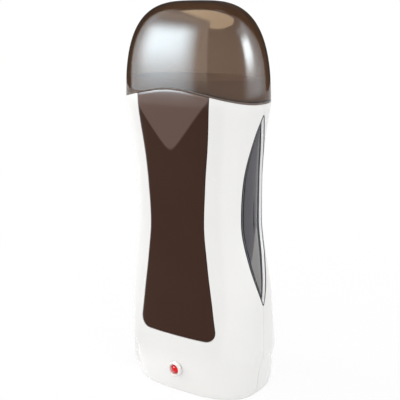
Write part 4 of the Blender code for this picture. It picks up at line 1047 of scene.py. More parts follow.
@dataclass
class FrontPanel:
    """Waisted panel, let in flush with the front and cut to the cover's arch at its top."""

    bottom: float = 0.0324
    waist_half_width: float = 0.0173
    foot_half_width: float = 0.0256
    thickness: float = 0.001
    corner: float = 0.0065
    rounding: float = 0.00025
    columns: int = 40
    rows: int = 110
    shares: Stations = (
        (0.0, 1.0), (0.12, 1.0), (0.24, 0.66), (0.36, 0.24),
        (0.46, 0.0), (0.56, 0.12), (0.76, 0.61), (1.0, 0.85),
    )

    def half_width(self, height: float, clearance: float) -> float:
        """Half-width at a height, with the lower corners rounded."""
        share = curve_through(self.shares, height / FORM.height)
        width = self.waist_half_width + share * (self.foot_half_width - self.waist_half_width) + clearance
        radius = self.corner + clearance
        drop = radius - (height - self.bottom + clearance)
        if drop > 0:
            width -= radius - math.sqrt(max(radius**2 - drop**2, 0.0))
        return width

    def slab(self, clearance: float, insets: tuple[float, float], top_shift: float) -> Mesh:
        """Plate over the panel's outline.

        Args:
            clearance: How far the outline is let out.
            insets: How far each face is drawn in from the front surface.
            top_shift: How far the top is moved from the cover's edge.

        Returns:
            The closed mesh.
        """
        bottom = self.bottom - clearance
        radius = self.corner + clearance
        crown = FORM.arch_top + top_shift
        corner_rows = self.rows // 8

        def place(across_share: float, up_share: float, layer: float) -> Vector:
            row = round((up_share + 1) / 2 * self.rows)
            if row <= corner_rows:
                height = bottom + radius * (1 - math.cos(math.pi / 2 * row / corner_rows))
            else:
                part = (row - corner_rows) / (self.rows - corner_rows)
                height = bottom + radius + (crown - bottom - radius) * part
            across = self.half_width(height, clearance) * across_share
            share = (height - bottom) / (crown - bottom)
            up = bottom + share * (FORM.edge(across) + top_shift - bottom)
            return Vector((across, FORM.front_face(across, up, insets[round(layer)]), up))

        return mapped_slab(self.columns, self.rows, place)

    def recess(self) -> Mesh:
        """Cutter for the recess that the panel lies in, open at the top."""
        return self.slab(FORM.gap, (-FORM.overrun, self.thickness + FORM.gap), FORM.overrun)

    def build(self, shop: Workshop) -> None:
        """Make the panel."""
        mesh = self.slab(0.0, (0.0, self.thickness), -FORM.gap / 2)
        bevelled(mesh, self.rounding, 60.0, 2)
        shop.piece("front_panel_skin", mesh, FINISHES.panel, "front_panel")


@dataclass
class SideWindow:
    """Almond windows on the joint between the shells, flush outside."""

    bottom: float = 0.0506
    top_drop: float = 0.0056
    half_depth: float = 0.0094
    tip_half_depth: float = 0.0003
    exponent: float = 2.4
    depth: float = 0.0036
    lip: float = 0.0005
    lip_inset: float = 0.0001
    slope: float = 0.00065
    seat_inset: float = 0.00105
    # width of the seal's flat black band, which is painted shade of the gap round the lens
    seal: float = 0.0013
    crown: float = 0.0003
    rear_keeps: tuple[float, float, float] = (0.87, 0.80, 0.53)
    trim_thickness: float = 0.00006
    lens_rings: int = 9
    steps: int = 72
    tip: float = 0.00004
    lens_reach: float = 0.99

    @property
    def centre(self) -> float:
        """Height of the middle."""
        return (FORM.edge_height - self.top_drop + self.bottom) / 2

    @property
    def half_length(self) -> float:
        """Half of the length along Z."""
        return (FORM.edge_height - self.top_drop - self.bottom) / 2

    def half(self, share: float) -> float:
        """Half-depth at a share of the half-length from the middle."""
        return self.tip_half_depth + self.half_depth * (1 - abs(share) ** self.exponent)

    def ring(self, sign: int, margin: float, inset: float, keep: float = 1.0) -> list[Vector]:
        """Outline drawn in on the side surface.

        Args:
            sign: 1 on the right, -1 on the left.
            margin: How far it is drawn in along the surface.
            inset: How deep it lies under the surface.
            keep: Share of the reach to the rear that is left.

        Returns:
            Points of the ring.
        """
        left = max(1 - (margin + self.tip - self.tip_half_depth) / self.half_depth, 0.0)
        reach = min(left ** (1 / self.exponent), 1.0)
        points = []
        for angle in evenly(0.0, 2 * math.pi, 2 * self.steps)[:-1]:
            share = reach * math.cos(angle)
            along = max(self.half(share) - margin, self.tip)
            along *= math.copysign(1.0, math.sin(angle) + 1e-9)
            if abs(math.sin(angle)) < 1e-6:
                along = 0.0
            if along > 0:
                along *= keep
            height = self.centre + self.half_length * share
            points.append(Vector((sign * FORM.side_face(along, height, inset), along, height)))
        return points

    def opening(self, reach: float) -> Mesh:
        """Cutter for both window openings."""
        points = []
        for side in (1, -1):
            for index in range(self.steps + 1):
                share = side * math.cos(math.pi * index / self.steps)
                height = self.centre - (self.half_length + FORM.gap) * share
                points.append((side * (self.half(share) + FORM.gap), height))
        return prism(points, -reach, reach, "X")

    def build(self, shop: Workshop) -> None:
        """Make both windows, each of a seal whose black band is painted shade of the gap round the lens, a
        trim on its slope and a lens.
        """
        foot, thick = self.lip + self.slope, self.trim_thickness
        face = foot + self.seal
        lip_keep, foot_keep, face_keep = self.rear_keeps
        seal = [
            (0.0, self.depth, 1.0), (0.0, self.lip_inset, 1.0), (self.lip, self.lip_inset, lip_keep),
            (foot, self.seat_inset, foot_keep), (face, self.seat_inset, face_keep),
            (face, self.depth, face_keep),
        ]
        trim = [
            (self.lip, self.lip_inset - thick, lip_keep), (foot, self.seat_inset - thick, foot_keep),
            (foot, self.seat_inset + thick, foot_keep), (self.lip, self.lip_inset + thick, lip_keep),
        ]
        lens = [(face, self.depth - thick, face_keep)]
        for share in evenly(0.0, 1.0, self.lens_rings):
            margin = face + (self.half_depth * self.lens_reach - face) * share
            rise = self.crown * math.sin(math.pi / 2 * share)
            lens.append((margin, self.seat_inset - rise, face_keep))
        layers = (
            ("seal", seal, Ends.JOINED, FINISHES.seal), ("trim", trim, Ends.JOINED, FINISHES.trim),
            ("lens", lens, Ends.CAPPED, FINISHES.lens),
        )
        for hand in Hand:
            side = hand.name.lower()
            for layer, places, ends, finish in layers:
                mesh = lofted([self.ring(hand.value, *place) for place in places], ends)
                shop.piece(f"window_{layer}_{side}", mesh, finish, f"window_{side}")


@dataclass
class HeatingCup:
    """Oblong cup for the cartridge, with the soft rest on its floor."""

    half_width: float = 0.027
    half_depth: float = 0.017
    wall: float = 0.001
    floor: float = 0.0015
    bottom: float = 0.0496
    top: float = 0.1577
    slot_low: float = 0.064
    slot_high: float = 0.142
    slot_half_depth: float = 0.005
    rest_thickness: float = 0.002
    rest_rim: float = 0.006
    rest_edge: float = 0.0004
    slot_round: float = 0.98
    centre: float = 0.0004

    def cup(self) -> Mesh:
        """Cup with a slot towards each window."""
        wide, deep = self.half_width, self.half_depth
        rings = [
            oblong(self.bottom, wide + self.wall, deep + self.wall),
            oblong(self.top, wide + self.wall, deep + self.wall),
            oblong(self.top, wide, deep),
            oblong(self.bottom + self.floor, wide, deep),
        ]
        reach = wide + FORM.overrun
        slot = brick(
            (-reach, self.centre - self.slot_half_depth, self.slot_low),
            (reach, self.centre + self.slot_half_depth, self.slot_high),
        )
        ends = [e for e in slot.edges if abs(e.verts[0].co.x - e.verts[1].co.x) > wide]
        bmesh.ops.bevel(
            slot, geom=ends, offset=self.slot_half_depth * self.slot_round, segments=10,
            profile=0.5, affect="EDGES", material=-1,
        )
        return worked(lofted(rings), [(Cut.AWAY, slot)])

    def rest(self) -> Mesh:
        """Ring on the cup's floor that the cartridge stands on."""
        low = self.bottom + self.floor + FORM.gap
        top = low + self.rest_thickness
        wide, deep = self.half_width - FORM.gap, self.half_depth - FORM.gap
        inner = (wide - self.rest_rim, deep - self.rest_rim)
        rings = [
            oblong(low, wide, deep), oblong(top, wide, deep), oblong(top, *inner), oblong(low, *inner),
        ]
        return bevelled(lofted(rings, Ends.JOINED), self.rest_edge)

    def build(self, shop: Workshop) -> None:
        """Make the cup and its rest."""
        shop.piece("cup_can", self.cup(), FINISHES.aluminium, "heating_cup")
        shop.piece("rest_ring", self.rest(), FINISHES.silicone, "cartridge_rest")


@dataclass
class Collar:
    """Ring between the shells' rims and the cup, over which the cover slides."""

    ledge_drop: float = 0.0045
    skirt: float = 0.0012
    step_drop: float = 0.0008
    rim_wall: float = 0.0015
    rim_rise: float = 0.0045
    deck: float = 0.002
    rounding: float = 0.0003

    def build(self, shop: Workshop) -> None:
        """Make the collar."""
        skirt = FORM.wall + FORM.gap
        inset = FORM.cover_wall + FORM.gap
        low = FORM.edge_height - self.ledge_drop + FORM.gap
        step = FORM.edge_height - self.step_drop
        deck_low = HeatingCup.top + FORM.gap
        deck_top = deck_low + self.deck
        top = FORM.arch_top + self.rim_rise
        rings = [
            FORM.ring(low, skirt),
            FORM.ring(step, skirt),
            FORM.ring(step, inset),
            FORM.ring(top, inset),
            FORM.ring(top, inset + self.rim_wall),
            FORM.ring(deck_top, inset + self.rim_wall),
            oblong(deck_top, HeatingCup.half_width, HeatingCup.half_depth),
            oblong(deck_low, HeatingCup.half_width, HeatingCup.half_depth),
            FORM.ring(deck_low, inset + self.rim_wall),
            FORM.ring(step, skirt + self.skirt),
            FORM.ring(low, skirt + self.skirt),
        ]
        mesh = bevelled(lofted(rings, Ends.JOINED), self.rounding, 50.0, 2)
        shop.piece("collar_ring", mesh, FINISHES.collar, "cartridge_collar")


@dataclass
class MainsInlet:
    """Two-pin inlet in its flat pad on the left side."""

    pad_reach: float = 0.0404
    pad_half_depth: float = 0.010
    pad_bottom: float = 0.0038
    pad_top: float = 0.018
    pad_slope: float = 0.006
    height: float = 0.011
    half_depth: float = 0.0088
    half_height: float = 0.0053
    length: float = 0.0112
    flange: float = 0.0011
    flange_thickness: float = 0.0015
    back: float = 0.002
    slot_half_depth: float = 0.008
    slot_radius: float = 0.0037
    pin_spread: float = 0.0043
    pin_radius: float = 0.0012
    pin_recess: float = 0.002
    pin_tail: float = 0.002
    house_wall: float = 0.0012
    small_edge: float = 0.0004
    large_edge: float = 0.0008

    @property
    def back_place(self) -> float:
        """Distance of the block's back from the middle plane."""
        return self.pad_reach - self.length

    @property
    def house_end(self) -> float:
        """Distance of the house's inner wall from the middle plane."""
        return self.back_place - FORM.gap - self.house_wall + self.small_edge

    def block(self, start: float, end: float, margin: float, edge: float = 0.0) -> Mesh:
        """Box round the inlet between two distances from the middle plane."""
        half_depth, half_height = self.half_depth + margin, self.half_height + margin
        low = (-start, -half_depth, self.height - half_height)
        return brick(low, (-end, half_depth, self.height + half_height), edge)

    def house(self) -> Mesh:
        """Solid block inside the shells that holds the inlet."""
        margin = self.flange + FORM.gap + self.house_wall
        return self.block(self.pad_reach + FORM.overrun, self.house_end, margin)

    def pad(self, side: Side) -> Mesh:
        """Half of the pad, with its outer edges rounded."""
        slope = self.pad_slope / 2
        outline = [
            (-self.pad_reach, self.pad_bottom),
            (-self.pad_reach, self.pad_top),
            (-self.pad_reach + slope, self.pad_top + self.pad_slope),
            (-self.back_place, self.pad_top + self.pad_slope),
            (-self.back_place, self.pad_bottom),
        ]
        mesh = prism(outline, side.value * FORM.seam, side.value * self.pad_half_depth, "Y")
        limit = -self.pad_reach + self.small_edge
        edges = [e for e in mesh.edges if all(v.co.x < limit for v in e.verts)]
        outer = [e for e in edges if abs(e.verts[0].co.y + e.verts[1].co.y) > self.pad_half_depth]
        bmesh.ops.bevel(
            mesh, geom=outer, offset=self.large_edge, segments=6, profile=0.5, affect="EDGES", material=-1
        )
        return mesh

    def openings(self) -> list[Mesh]:
        """Cutters for the inlet's hole and its flange's pocket."""
        hole = self.block(self.pad_reach + FORM.overrun, self.house_end - FORM.overrun, FORM.gap)
        start = self.back_place + self.small_edge + self.flange_thickness + FORM.gap
        pocket = self.block(start, self.back_place + self.small_edge - FORM.gap, self.flange + FORM.gap)
        return [hole, pocket]

    def socket(self) -> Mesh:
        """Block with its flange and its rounded slot."""
        face = -self.pad_reach + FORM.gap
        block = self.block(-face, self.back_place, 0.0, self.small_edge)
        end = self.back_place + self.small_edge
        flange = self.block(end + self.flange_thickness, end, self.flange)
        outline = []
        straight = self.slot_half_depth - self.slot_radius
        for side in (1, -1):
            for angle in evenly(-math.pi / 2, math.pi / 2, 20):
                depth = side * (straight + self.slot_radius * math.cos(angle))
                outline.append((depth, self.height + side * self.slot_radius * math.sin(angle)))
        slot = prism(outline, face - FORM.overrun, -self.back_place - self.back, "X")
        steps = [(Cut.ADD, flange), (Cut.AWAY, slot)]
        for sign in (-1, 1):
            hole = rod(self.pin_radius + FORM.gap, -self.length, self.length, 0.0, 0.0, 24)
            stood(hole, "Z", (-self.back_place, sign * self.pin_spread, self.height))
            steps.append((Cut.AWAY, hole))
        return worked(block, steps)

    def pin(self, sign: int) -> Mesh:
        """Round pin with a tapered tip."""
        length = self.length - self.pin_recess + self.pin_tail
        radius = self.pin_radius
        profile = [
            (0.0, 0.0), (0.4 * radius, 0.0), (0.75 * radius, 0.35 * radius), (radius, radius),
            (radius, length), (0.0, length),
        ]
        start = -self.pad_reach + FORM.gap + self.pin_recess
        return stood(turned(profile, 24), "Y", (start, sign * self.pin_spread, self.height))

    def build(self, shop: Workshop) -> None:
        """Make the inlet block and its pins."""
        shop.piece("inlet_socket", self.socket(), FINISHES.black, "power_inlet")
        for sign, word in ((-1, "front"), (1, "rear")):
            name = f"inlet_pin_{word}"
            shop.piece(f"{name}_turned", self.pin(sign), FINISHES.brass, name)


@dataclass
class Indicator:
    """Red lamp in a white ring, low on the front."""

    height: float = 0.0132
    lens_radius: float = 0.0025
    lens_length: float = 0.0086
    leg_spread: float = 0.00127
    leg_radius: float = 0.0003
    ring_radius: float = 0.0041
    proud: float = 0.0019
    sleeve_length: float = 0.004
    small_edge: float = 0.0004
    large_edge: float = 0.0008
    board_face: float = 0.011

    @property
    def bore(self) -> float:
        """Radius of the ring's bore."""
        return self.lens_radius + FORM.gap

    @property
    def sleeve(self) -> float:
        """Radius of the ring's sleeve in the front wall."""
        return self.bore + self.small_edge

    @property
    def face(self) -> float:
        """Depth coordinate that the ring seats on."""
        return FORM.front_face(0.0, self.height + self.ring_radius) - FORM.gap

    def ring(self) -> Mesh:
        """Ring with a rounded front and a sleeve."""
        radius, proud, length = self.ring_radius, self.proud, self.sleeve_length
        nose = []
        for angle in evenly(0.0, math.pi / 2, 6):
            reach = radius - self.large_edge * (1 - math.cos(angle))
            nose.append((reach, proud - self.large_edge * (1 - math.sin(angle))))
        lip = [(self.bore + self.small_edge, proud), (self.bore, proud - self.small_edge)]
        back = [(self.bore, -length), (self.sleeve, -length), (self.sleeve, 0.0), (radius, 0.0)]
        return stood(turned(back + nose + lip, 64), "X", (0.0, self.face, self.height))

    def lens(self) -> Mesh:
        """Domed lens on two legs."""
        base = self.face - self.proud + self.small_edge + self.lens_length
        radius = self.lens_radius
        straight = self.lens_length - radius
        dome = [
            (radius * math.cos(angle), straight + radius * math.sin(angle))
            for angle in evenly(0.0, math.pi / 2, 12)
        ]
        dome[-1] = (0.0, self.lens_length)
        mesh = stood(turned([(0.0, 0.0), (radius, 0.0)] + dome, 48), "X", (0.0, base, self.height))
        start, end = base - self.small_edge, -self.board_face - FORM.gap
        legs = []
        for across in (-self.leg_spread, self.leg_spread):
            legs.append((Cut.ADD, rod(self.leg_radius, start, end, across, self.height, 16)))
        return worked(mesh, legs)

    def build(self, shop: Workshop) -> None:
        """Make the ring and the lens."""
        shop.piece("lamp_ring", self.ring(), FINISHES.bezel, "indicator_bezel")
        shop.piece("lamp_lens", self.lens(), FINISHES.lamp, "indicator_lamp")


@dataclass
class Housings:
    """Front and rear shell, hollow, with the posts, ledges and openings of their fittings."""

    panel: FrontPanel
    window: SideWindow
    inlet: MainsInlet
    lamp: Indicator
    floor: float = 0.003
    shelf_top: float = 0.046
    shelf_thickness: float = 0.002
    shelf_reach: float = 0.002
    ledge_drop: float = 0.0045
    ledge_thickness: float = 0.002
    ledge_reach: float = 0.0014
    ledge_half_width: float = 0.014
    low_post_inset: float = 0.0116
    low_post_height: float = 0.012
    high_post_inset: float = 0.0055
    high_post_height: float = 0.0385
    screw_radius: float = 0.0014
    screw_length: float = 0.013
    screw_seat: float = 0.004
    post_wall: float = 0.0015
    well_wall: float = 0.0012
    board_post_radius: float = 0.0024
    board_post_spread: float = 0.010
    board_post_height: float = 0.0232
    board_face: float = 0.011
    board_screw_radius: float = 0.001
    board_screw_length: float = 0.005
    rows: int = 76

    @property
    def head_radius(self) -> float:
        """Radius of a screw's head."""
        return 1.9 * self.screw_radius

    @property
    def well_radius(self) -> float:
        """Radius of the well that a screw's head goes down."""
        return self.head_radius + 2 * FORM.gap

    @property
    def loft_top(self) -> float:
        """Height up to which the shells are lofted before they are trimmed."""
        return FORM.arch_top + 2 * FORM.overrun

    def posts(self) -> list[tuple[float, float]]:
        """Across and height of each post that takes a screw."""
        low = self.inlet.house_end - self.low_post_inset
        high = FORM.waist_half_width - self.high_post_inset
        return [
            (-low, self.low_post_height), (low, self.low_post_height),
            (-high, self.high_post_height), (high, self.high_post_height),
        ]

    def half_ring(self, height: float, side: Side) -> list[Vector]:
        """Section of one shell, stopped half a gap short of the joint."""
        start = math.pi if side is Side.FRONT else 0.0
        angles = evenly(start, start + math.pi, FORM.ring_sides // 2)
        points = [FORM.point(height, 0.0, angle) for angle in angles]
        for point in points:
            point.y += side.value * FORM.seam
        return points

    def blank(self, side: Side) -> Mesh:
        """Solid half of the body's form."""
        low = [FORM.foot_edge_rise * share for share in (0.0, 0.04, 0.1, 0.18, 0.3, 0.45, 0.6, 0.8)]
        heights = low + evenly(FORM.foot_edge_rise, self.loft_top, self.rows)
        return lofted([self.half_ring(height, side) for height in heights])

    def cavity(self, side: Side) -> Mesh:
        """Space inside one shell, with its posts, ledge and inlet house left standing."""
        low = self.shelf_top - self.shelf_thickness
        reach = FORM.wall + self.shelf_reach
        rings = [FORM.ring(height, FORM.wall) for height in evenly(self.floor, low, 20)]
        rings += [FORM.ring(height, reach) for height in (low, self.shelf_top)]
        above = evenly(self.shelf_top, self.loft_top + FORM.overrun, 60)
        rings += [FORM.ring(height, FORM.wall) for height in above]
        depth = FORM.front_shoulder_depth if side is Side.FRONT else FORM.rear_foot_depth
        wall = self.screw_radius + FORM.gap + self.post_wall
        radius = wall if side is Side.FRONT else self.well_radius + self.well_wall
        sign = side.value
        steps = [
            (Cut.AWAY, rod(radius, -sign * FORM.overrun, sign * (depth + FORM.overrun), across, height))
            for across, height in self.posts()
        ]
        top = FORM.edge_height - self.ledge_drop
        _, front, rear = FORM.section(top, FORM.wall + self.ledge_reach)
        near = front if side is Side.FRONT else rear
        ends = sorted((sign * near, sign * (depth + FORM.overrun)))
        half = self.ledge_half_width
        steps.append((Cut.AWAY, brick((-half, ends[0], top - self.ledge_thickness), (half, ends[1], top))))
        steps.append((Cut.AWAY, self.inlet.house()))
        return worked(lofted(rings), steps)

    def above_edge(self) -> Mesh:
        """Block that lies above the cover's edge."""
        reach, depth = FORM.shoulder_half_width + FORM.overrun, FORM.rear_foot_depth + FORM.overrun
        outline = [(place, FORM.edge(place) - FORM.seam) for place in evenly(-reach, reach, 120)]
        top = self.loft_top + FORM.overrun
        return prism(outline + [(reach, top), (-reach, top)], -depth, depth, "Y")

    def shell(self, side: Side) -> Mesh:
        """One shell with the openings that both have."""
        reach = FORM.shoulder_half_width + FORM.overrun
        steps = [
            (Cut.ADD, self.inlet.pad(side)),
            (Cut.AWAY, self.cavity(side)),
            (Cut.AWAY, self.above_edge()),
            (Cut.AWAY, self.window.opening(reach)),
        ]
        steps += [(Cut.AWAY, tool) for tool in self.inlet.openings()]
        return worked(self.blank(side), steps)

    def front(self) -> Mesh:
        """Front shell with the panel's recess, the lamp's hole and its posts."""
        out = -FORM.front_shoulder_depth - FORM.overrun
        inside = -FORM.front_waist_depth + 2 * FORM.wall
        steps = [
            (Cut.AWAY, self.panel.recess()),
            (Cut.AWAY, rod(self.lamp.sleeve + FORM.gap, out, inside, 0.0, self.lamp.height)),
        ]
        depth, radius = self.screw_seat - self.screw_length, self.screw_radius + FORM.gap
        for across, height in self.posts():
            steps.append((Cut.AWAY, rod(radius, depth, FORM.overrun, across, height, 24)))
        face, height = -self.board_face, self.board_post_height
        end, radius = face - self.board_screw_length, self.board_screw_radius + FORM.gap
        for across in (-self.board_post_spread, self.board_post_spread):
            back = FORM.front_face(across, height) + FORM.wall / 2
            post = rod(self.board_post_radius, back, face - FORM.gap, across, height, 32)
            hole = rod(radius, end, face + FORM.overrun, across, height, 24)
            steps += [(Cut.ADD, post), (Cut.AWAY, hole)]
        return worked(self.shell(Side.FRONT), steps)

    def rear(self) -> Mesh:
        """Rear shell with a well and a through hole for each screw."""
        steps = []
        seat, out = self.screw_seat, FORM.rear_foot_depth + FORM.overrun
        radius = self.screw_radius + FORM.gap
        for across, height in self.posts():
            well = rod(self.well_radius, seat, out, across, height)
            hole = rod(radius, -FORM.overrun, seat + FORM.gap, across, height, 24)
            steps += [(Cut.AWAY, well), (Cut.AWAY, hole)]
        return worked(self.shell(Side.REAR), steps)

    def screw(self) -> Mesh:
        """Pan-head screw with a cross recess; its shank points up Z."""
        radius, head = self.screw_radius, self.head_radius
        thickness = 1.3 * radius
        crown = [
            (head * math.sin(angle), -0.35 * thickness - 0.65 * thickness * math.cos(angle))
            for angle in evenly(0.0, math.pi / 2, 8)
        ]
        tip = [(radius, self.screw_length - radius), (0.0, self.screw_length)]
        profile = crown + [(head, 0.0), (radius, 0.0)] + tip
        steps = []
        for wide, deep in ((0.75, 0.16), (0.16, 0.75)):
            low = (-wide * head, -deep * head, -1.2 * thickness)
            steps.append((Cut.AWAY, brick(low, (wide * head, deep * head, -0.4 * thickness))))
        return worked(turned(profile, 40), steps)

    def build(self, shop: Workshop) -> None:
        """Make both shells and the screws that draw them together."""
        for name, mesh in (("front_housing", self.front()), ("rear_housing", self.rear())):
            shop.piece(f"{name}_shell", mesh, FINISHES.shell, name)
        for index, (across, height) in enumerate(self.posts(), start=1):
            mesh = stood(self.screw(), "X", (across, self.screw_seat + FORM.gap, height))
            name = f"housing_screw_{index}"
            shop.piece(f"{name}_cross_head", mesh, FINISHES.steel, name)


@dataclass
class Cover:
    """Domed cover with a thick clear wall and an arched lower edge."""

    level: float = 0.012
    edge_rows: int = 12
    dome_rows: int = 44
    rounding: float = 0.0003
    edge_band: float = 0.0008
    least_step: float = 0.0005
    crown_shares: tuple[float, float, float] = (0.72, 0.45, 0.2)

    def skin(self, inset: float) -> list[list[Vector]]:
        """Rings of one face of the wall, from the arched edge to the crown."""
        top = FORM.arch_top + self.level
        rings = [FORM.edge_ring(0.0, top, inset, FORM.seam + rise) for rise in (0.0, self.edge_band)]
        for index in range(1, self.edge_rows + 1):
            rings.append(FORM.edge_ring(index / self.edge_rows, top, inset, FORM.seam))
        start, rise = FORM.height - FORM.dome_height, FORM.dome_height - inset
        for angle in evenly(0.0, math.pi / 2, self.dome_rows)[1:-1]:
            height = start + rise * math.sin(angle) ** (2 / FORM.dome_exponent)
            if height > top + self.least_step:
                rings.append(FORM.ring(height, inset))
        middle = Vector((0.0, 0.0, start + rise))
        crown = [Vector((point.x, point.y, start + rise)) for point in rings[-1]]
        rings += [[middle.lerp(point, share) for point in crown] for share in self.crown_shares]
        return rings

    def build(self, shop: Workshop) -> None:
        """Make the cover."""
        rings = list(reversed(self.skin(FORM.cover_wall))) + self.skin(0.0)
        mesh = bevelled(lofted(rings), self.rounding, 60.0, 3)
        for face in mesh.faces:
            middle = face.calc_center_median()
            if middle.z < FORM.edge(middle.x) + FORM.seam + self.edge_band:
                face.material_index = 1
        dome = shop.piece(
            "cover_dome", mesh, FINISHES.cover, "cover", Body.COVER, 50.0
        )
        dome.data.materials.append(FINISHES.cover_edge.material())


def direction(azimuth: float, elevation: float) -> Vector:
    """Way out from the heater; azimuth 0 is its front and 90 its right, in degrees."""
    turn, lift = math.radians(azimuth), math.radians(elevation)
    level = math.cos(lift)
    return Vector((math.sin(turn) * level, -math.cos(turn) * level, math.sin(lift)))


@dataclass
class Softbox:
    """Area lamp aimed at the heater, placed by direction; reflections don't show it."""

    name: str
    azimuth: float
    elevation: float
    distance: float
    width: float
    height: float
    brightness: float

    def build(self, target: Vector) -> None:
        """Make the lamp, which faces a target."""
        away = direction(self.azimuth, self.elevation)
        lamp = bpy.data.lights.new(self.name, "AREA")
        lamp.shape = "RECTANGLE"
        lamp.size, lamp.size_y = self.width, self.height
        lamp.energy = self.brightness * math.pi * self.width * self.height
        item = bpy.data.objects.new(self.name, lamp)
        item.location = target + away * self.distance
        item.rotation_euler = away.to_track_quat("Z", "Y").to_euler()
        item.visible_camera = False
        item.visible_glossy = False
        bpy.context.scene.collection.objects.link(item)


@dataclass
class Reflector:
    """Card round the heater that only reflections show, pale or dark, with soft borders."""

    name: str
    azimuths: tuple[float, float]
    elevations: tuple[float, float]
    brightness: float
    colour: Colour = (1.0, 1.0, 1.0)
    soft: tuple[float, float, float, float] = (0.0, 0.0, 0.0, 0.0)
    distance: float = 1.3
    low_border: Stations = ()
    lead: float = 0.0
    steps: int = 48

    def place(self, target: Vector, azimuth: float, elevation: float) -> Vector:
        """Point of the card in a direction from its target."""
        return target + direction(azimuth, elevation) * self.distance

    def ramp(self, inside: float, width: float) -> float:
        """Strength at a distance inside a border, in degrees."""
        if width <= 0:
            return 1.0
        share = min(max(inside / width, 0.0), 1.0)
        return share * share * (3 - 2 * share)

    def material(self) -> bpy.types.Material:
        """Glow that fades out where the card's strength attribute does."""
        material = bpy.data.materials.new(self.name)
        material.use_nodes = True
        tree = material.node_tree
        tree.nodes.remove(tree.nodes["Principled BSDF"])
        glow = added(tree, "Emission", {"Color": self.colour, "Strength": self.brightness})
        clear = added(tree, "BsdfTransparent", {})
        strength = added(tree, "Attribute", {}, attribute_name="strength")
        show_mixed(
            tree, strength.outputs["Fac"], clear.outputs["BSDF"], glow.outputs["Emission"]
        )
        material.cycles.emission_sampling = "NONE"
        return material

    def build(self, target: Vector) -> None:
        """Make the card, bent round a target."""
        mesh = bmesh.new()
        bmesh.ops.create_grid(mesh, x_segments=self.steps, y_segments=self.steps, size=1.0)
        layer = mesh.verts.layers.float.new("strength")
        left, right, low, high = self.soft
        start, end = self.azimuths
        bottom, top = self.elevations
        for vert in mesh.verts:
            azimuth = start + (vert.co.x + 1) / 2 * (end - start)
            if self.low_border:
                bottom = curve_through(self.low_border, azimuth)
            elevation = bottom + (vert.co.y + 1) / 2 * (top - bottom)
            across = self.ramp(azimuth - start, left) * self.ramp(end - azimuth, right)
            rise = elevation - bottom + self.lead
            vert[layer] = across * self.ramp(rise, low) * self.ramp(top - elevation, high)
            vert.co = self.place(target, azimuth, elevation)
        item = stored(self.name, mesh)
        item.data.materials.append(self.material())
        for rays in ("camera", "diffuse", "transmission", "shadow", "volume_scatter"):
            setattr(item, f"visible_{rays}", False)


@dataclass
class FloorCard(Reflector):
    """Card that lies on the floor; its second span is a distance from the heater, in metres."""

    lift: float = 0.0006

    def place(self, target: Vector, azimuth: float, elevation: float) -> Vector:
        """Point of the card at a distance from the heater."""
        turn = math.radians(azimuth)
        return Vector((math.sin(turn) * elevation, -math.cos(turn) * elevation, self.lift))


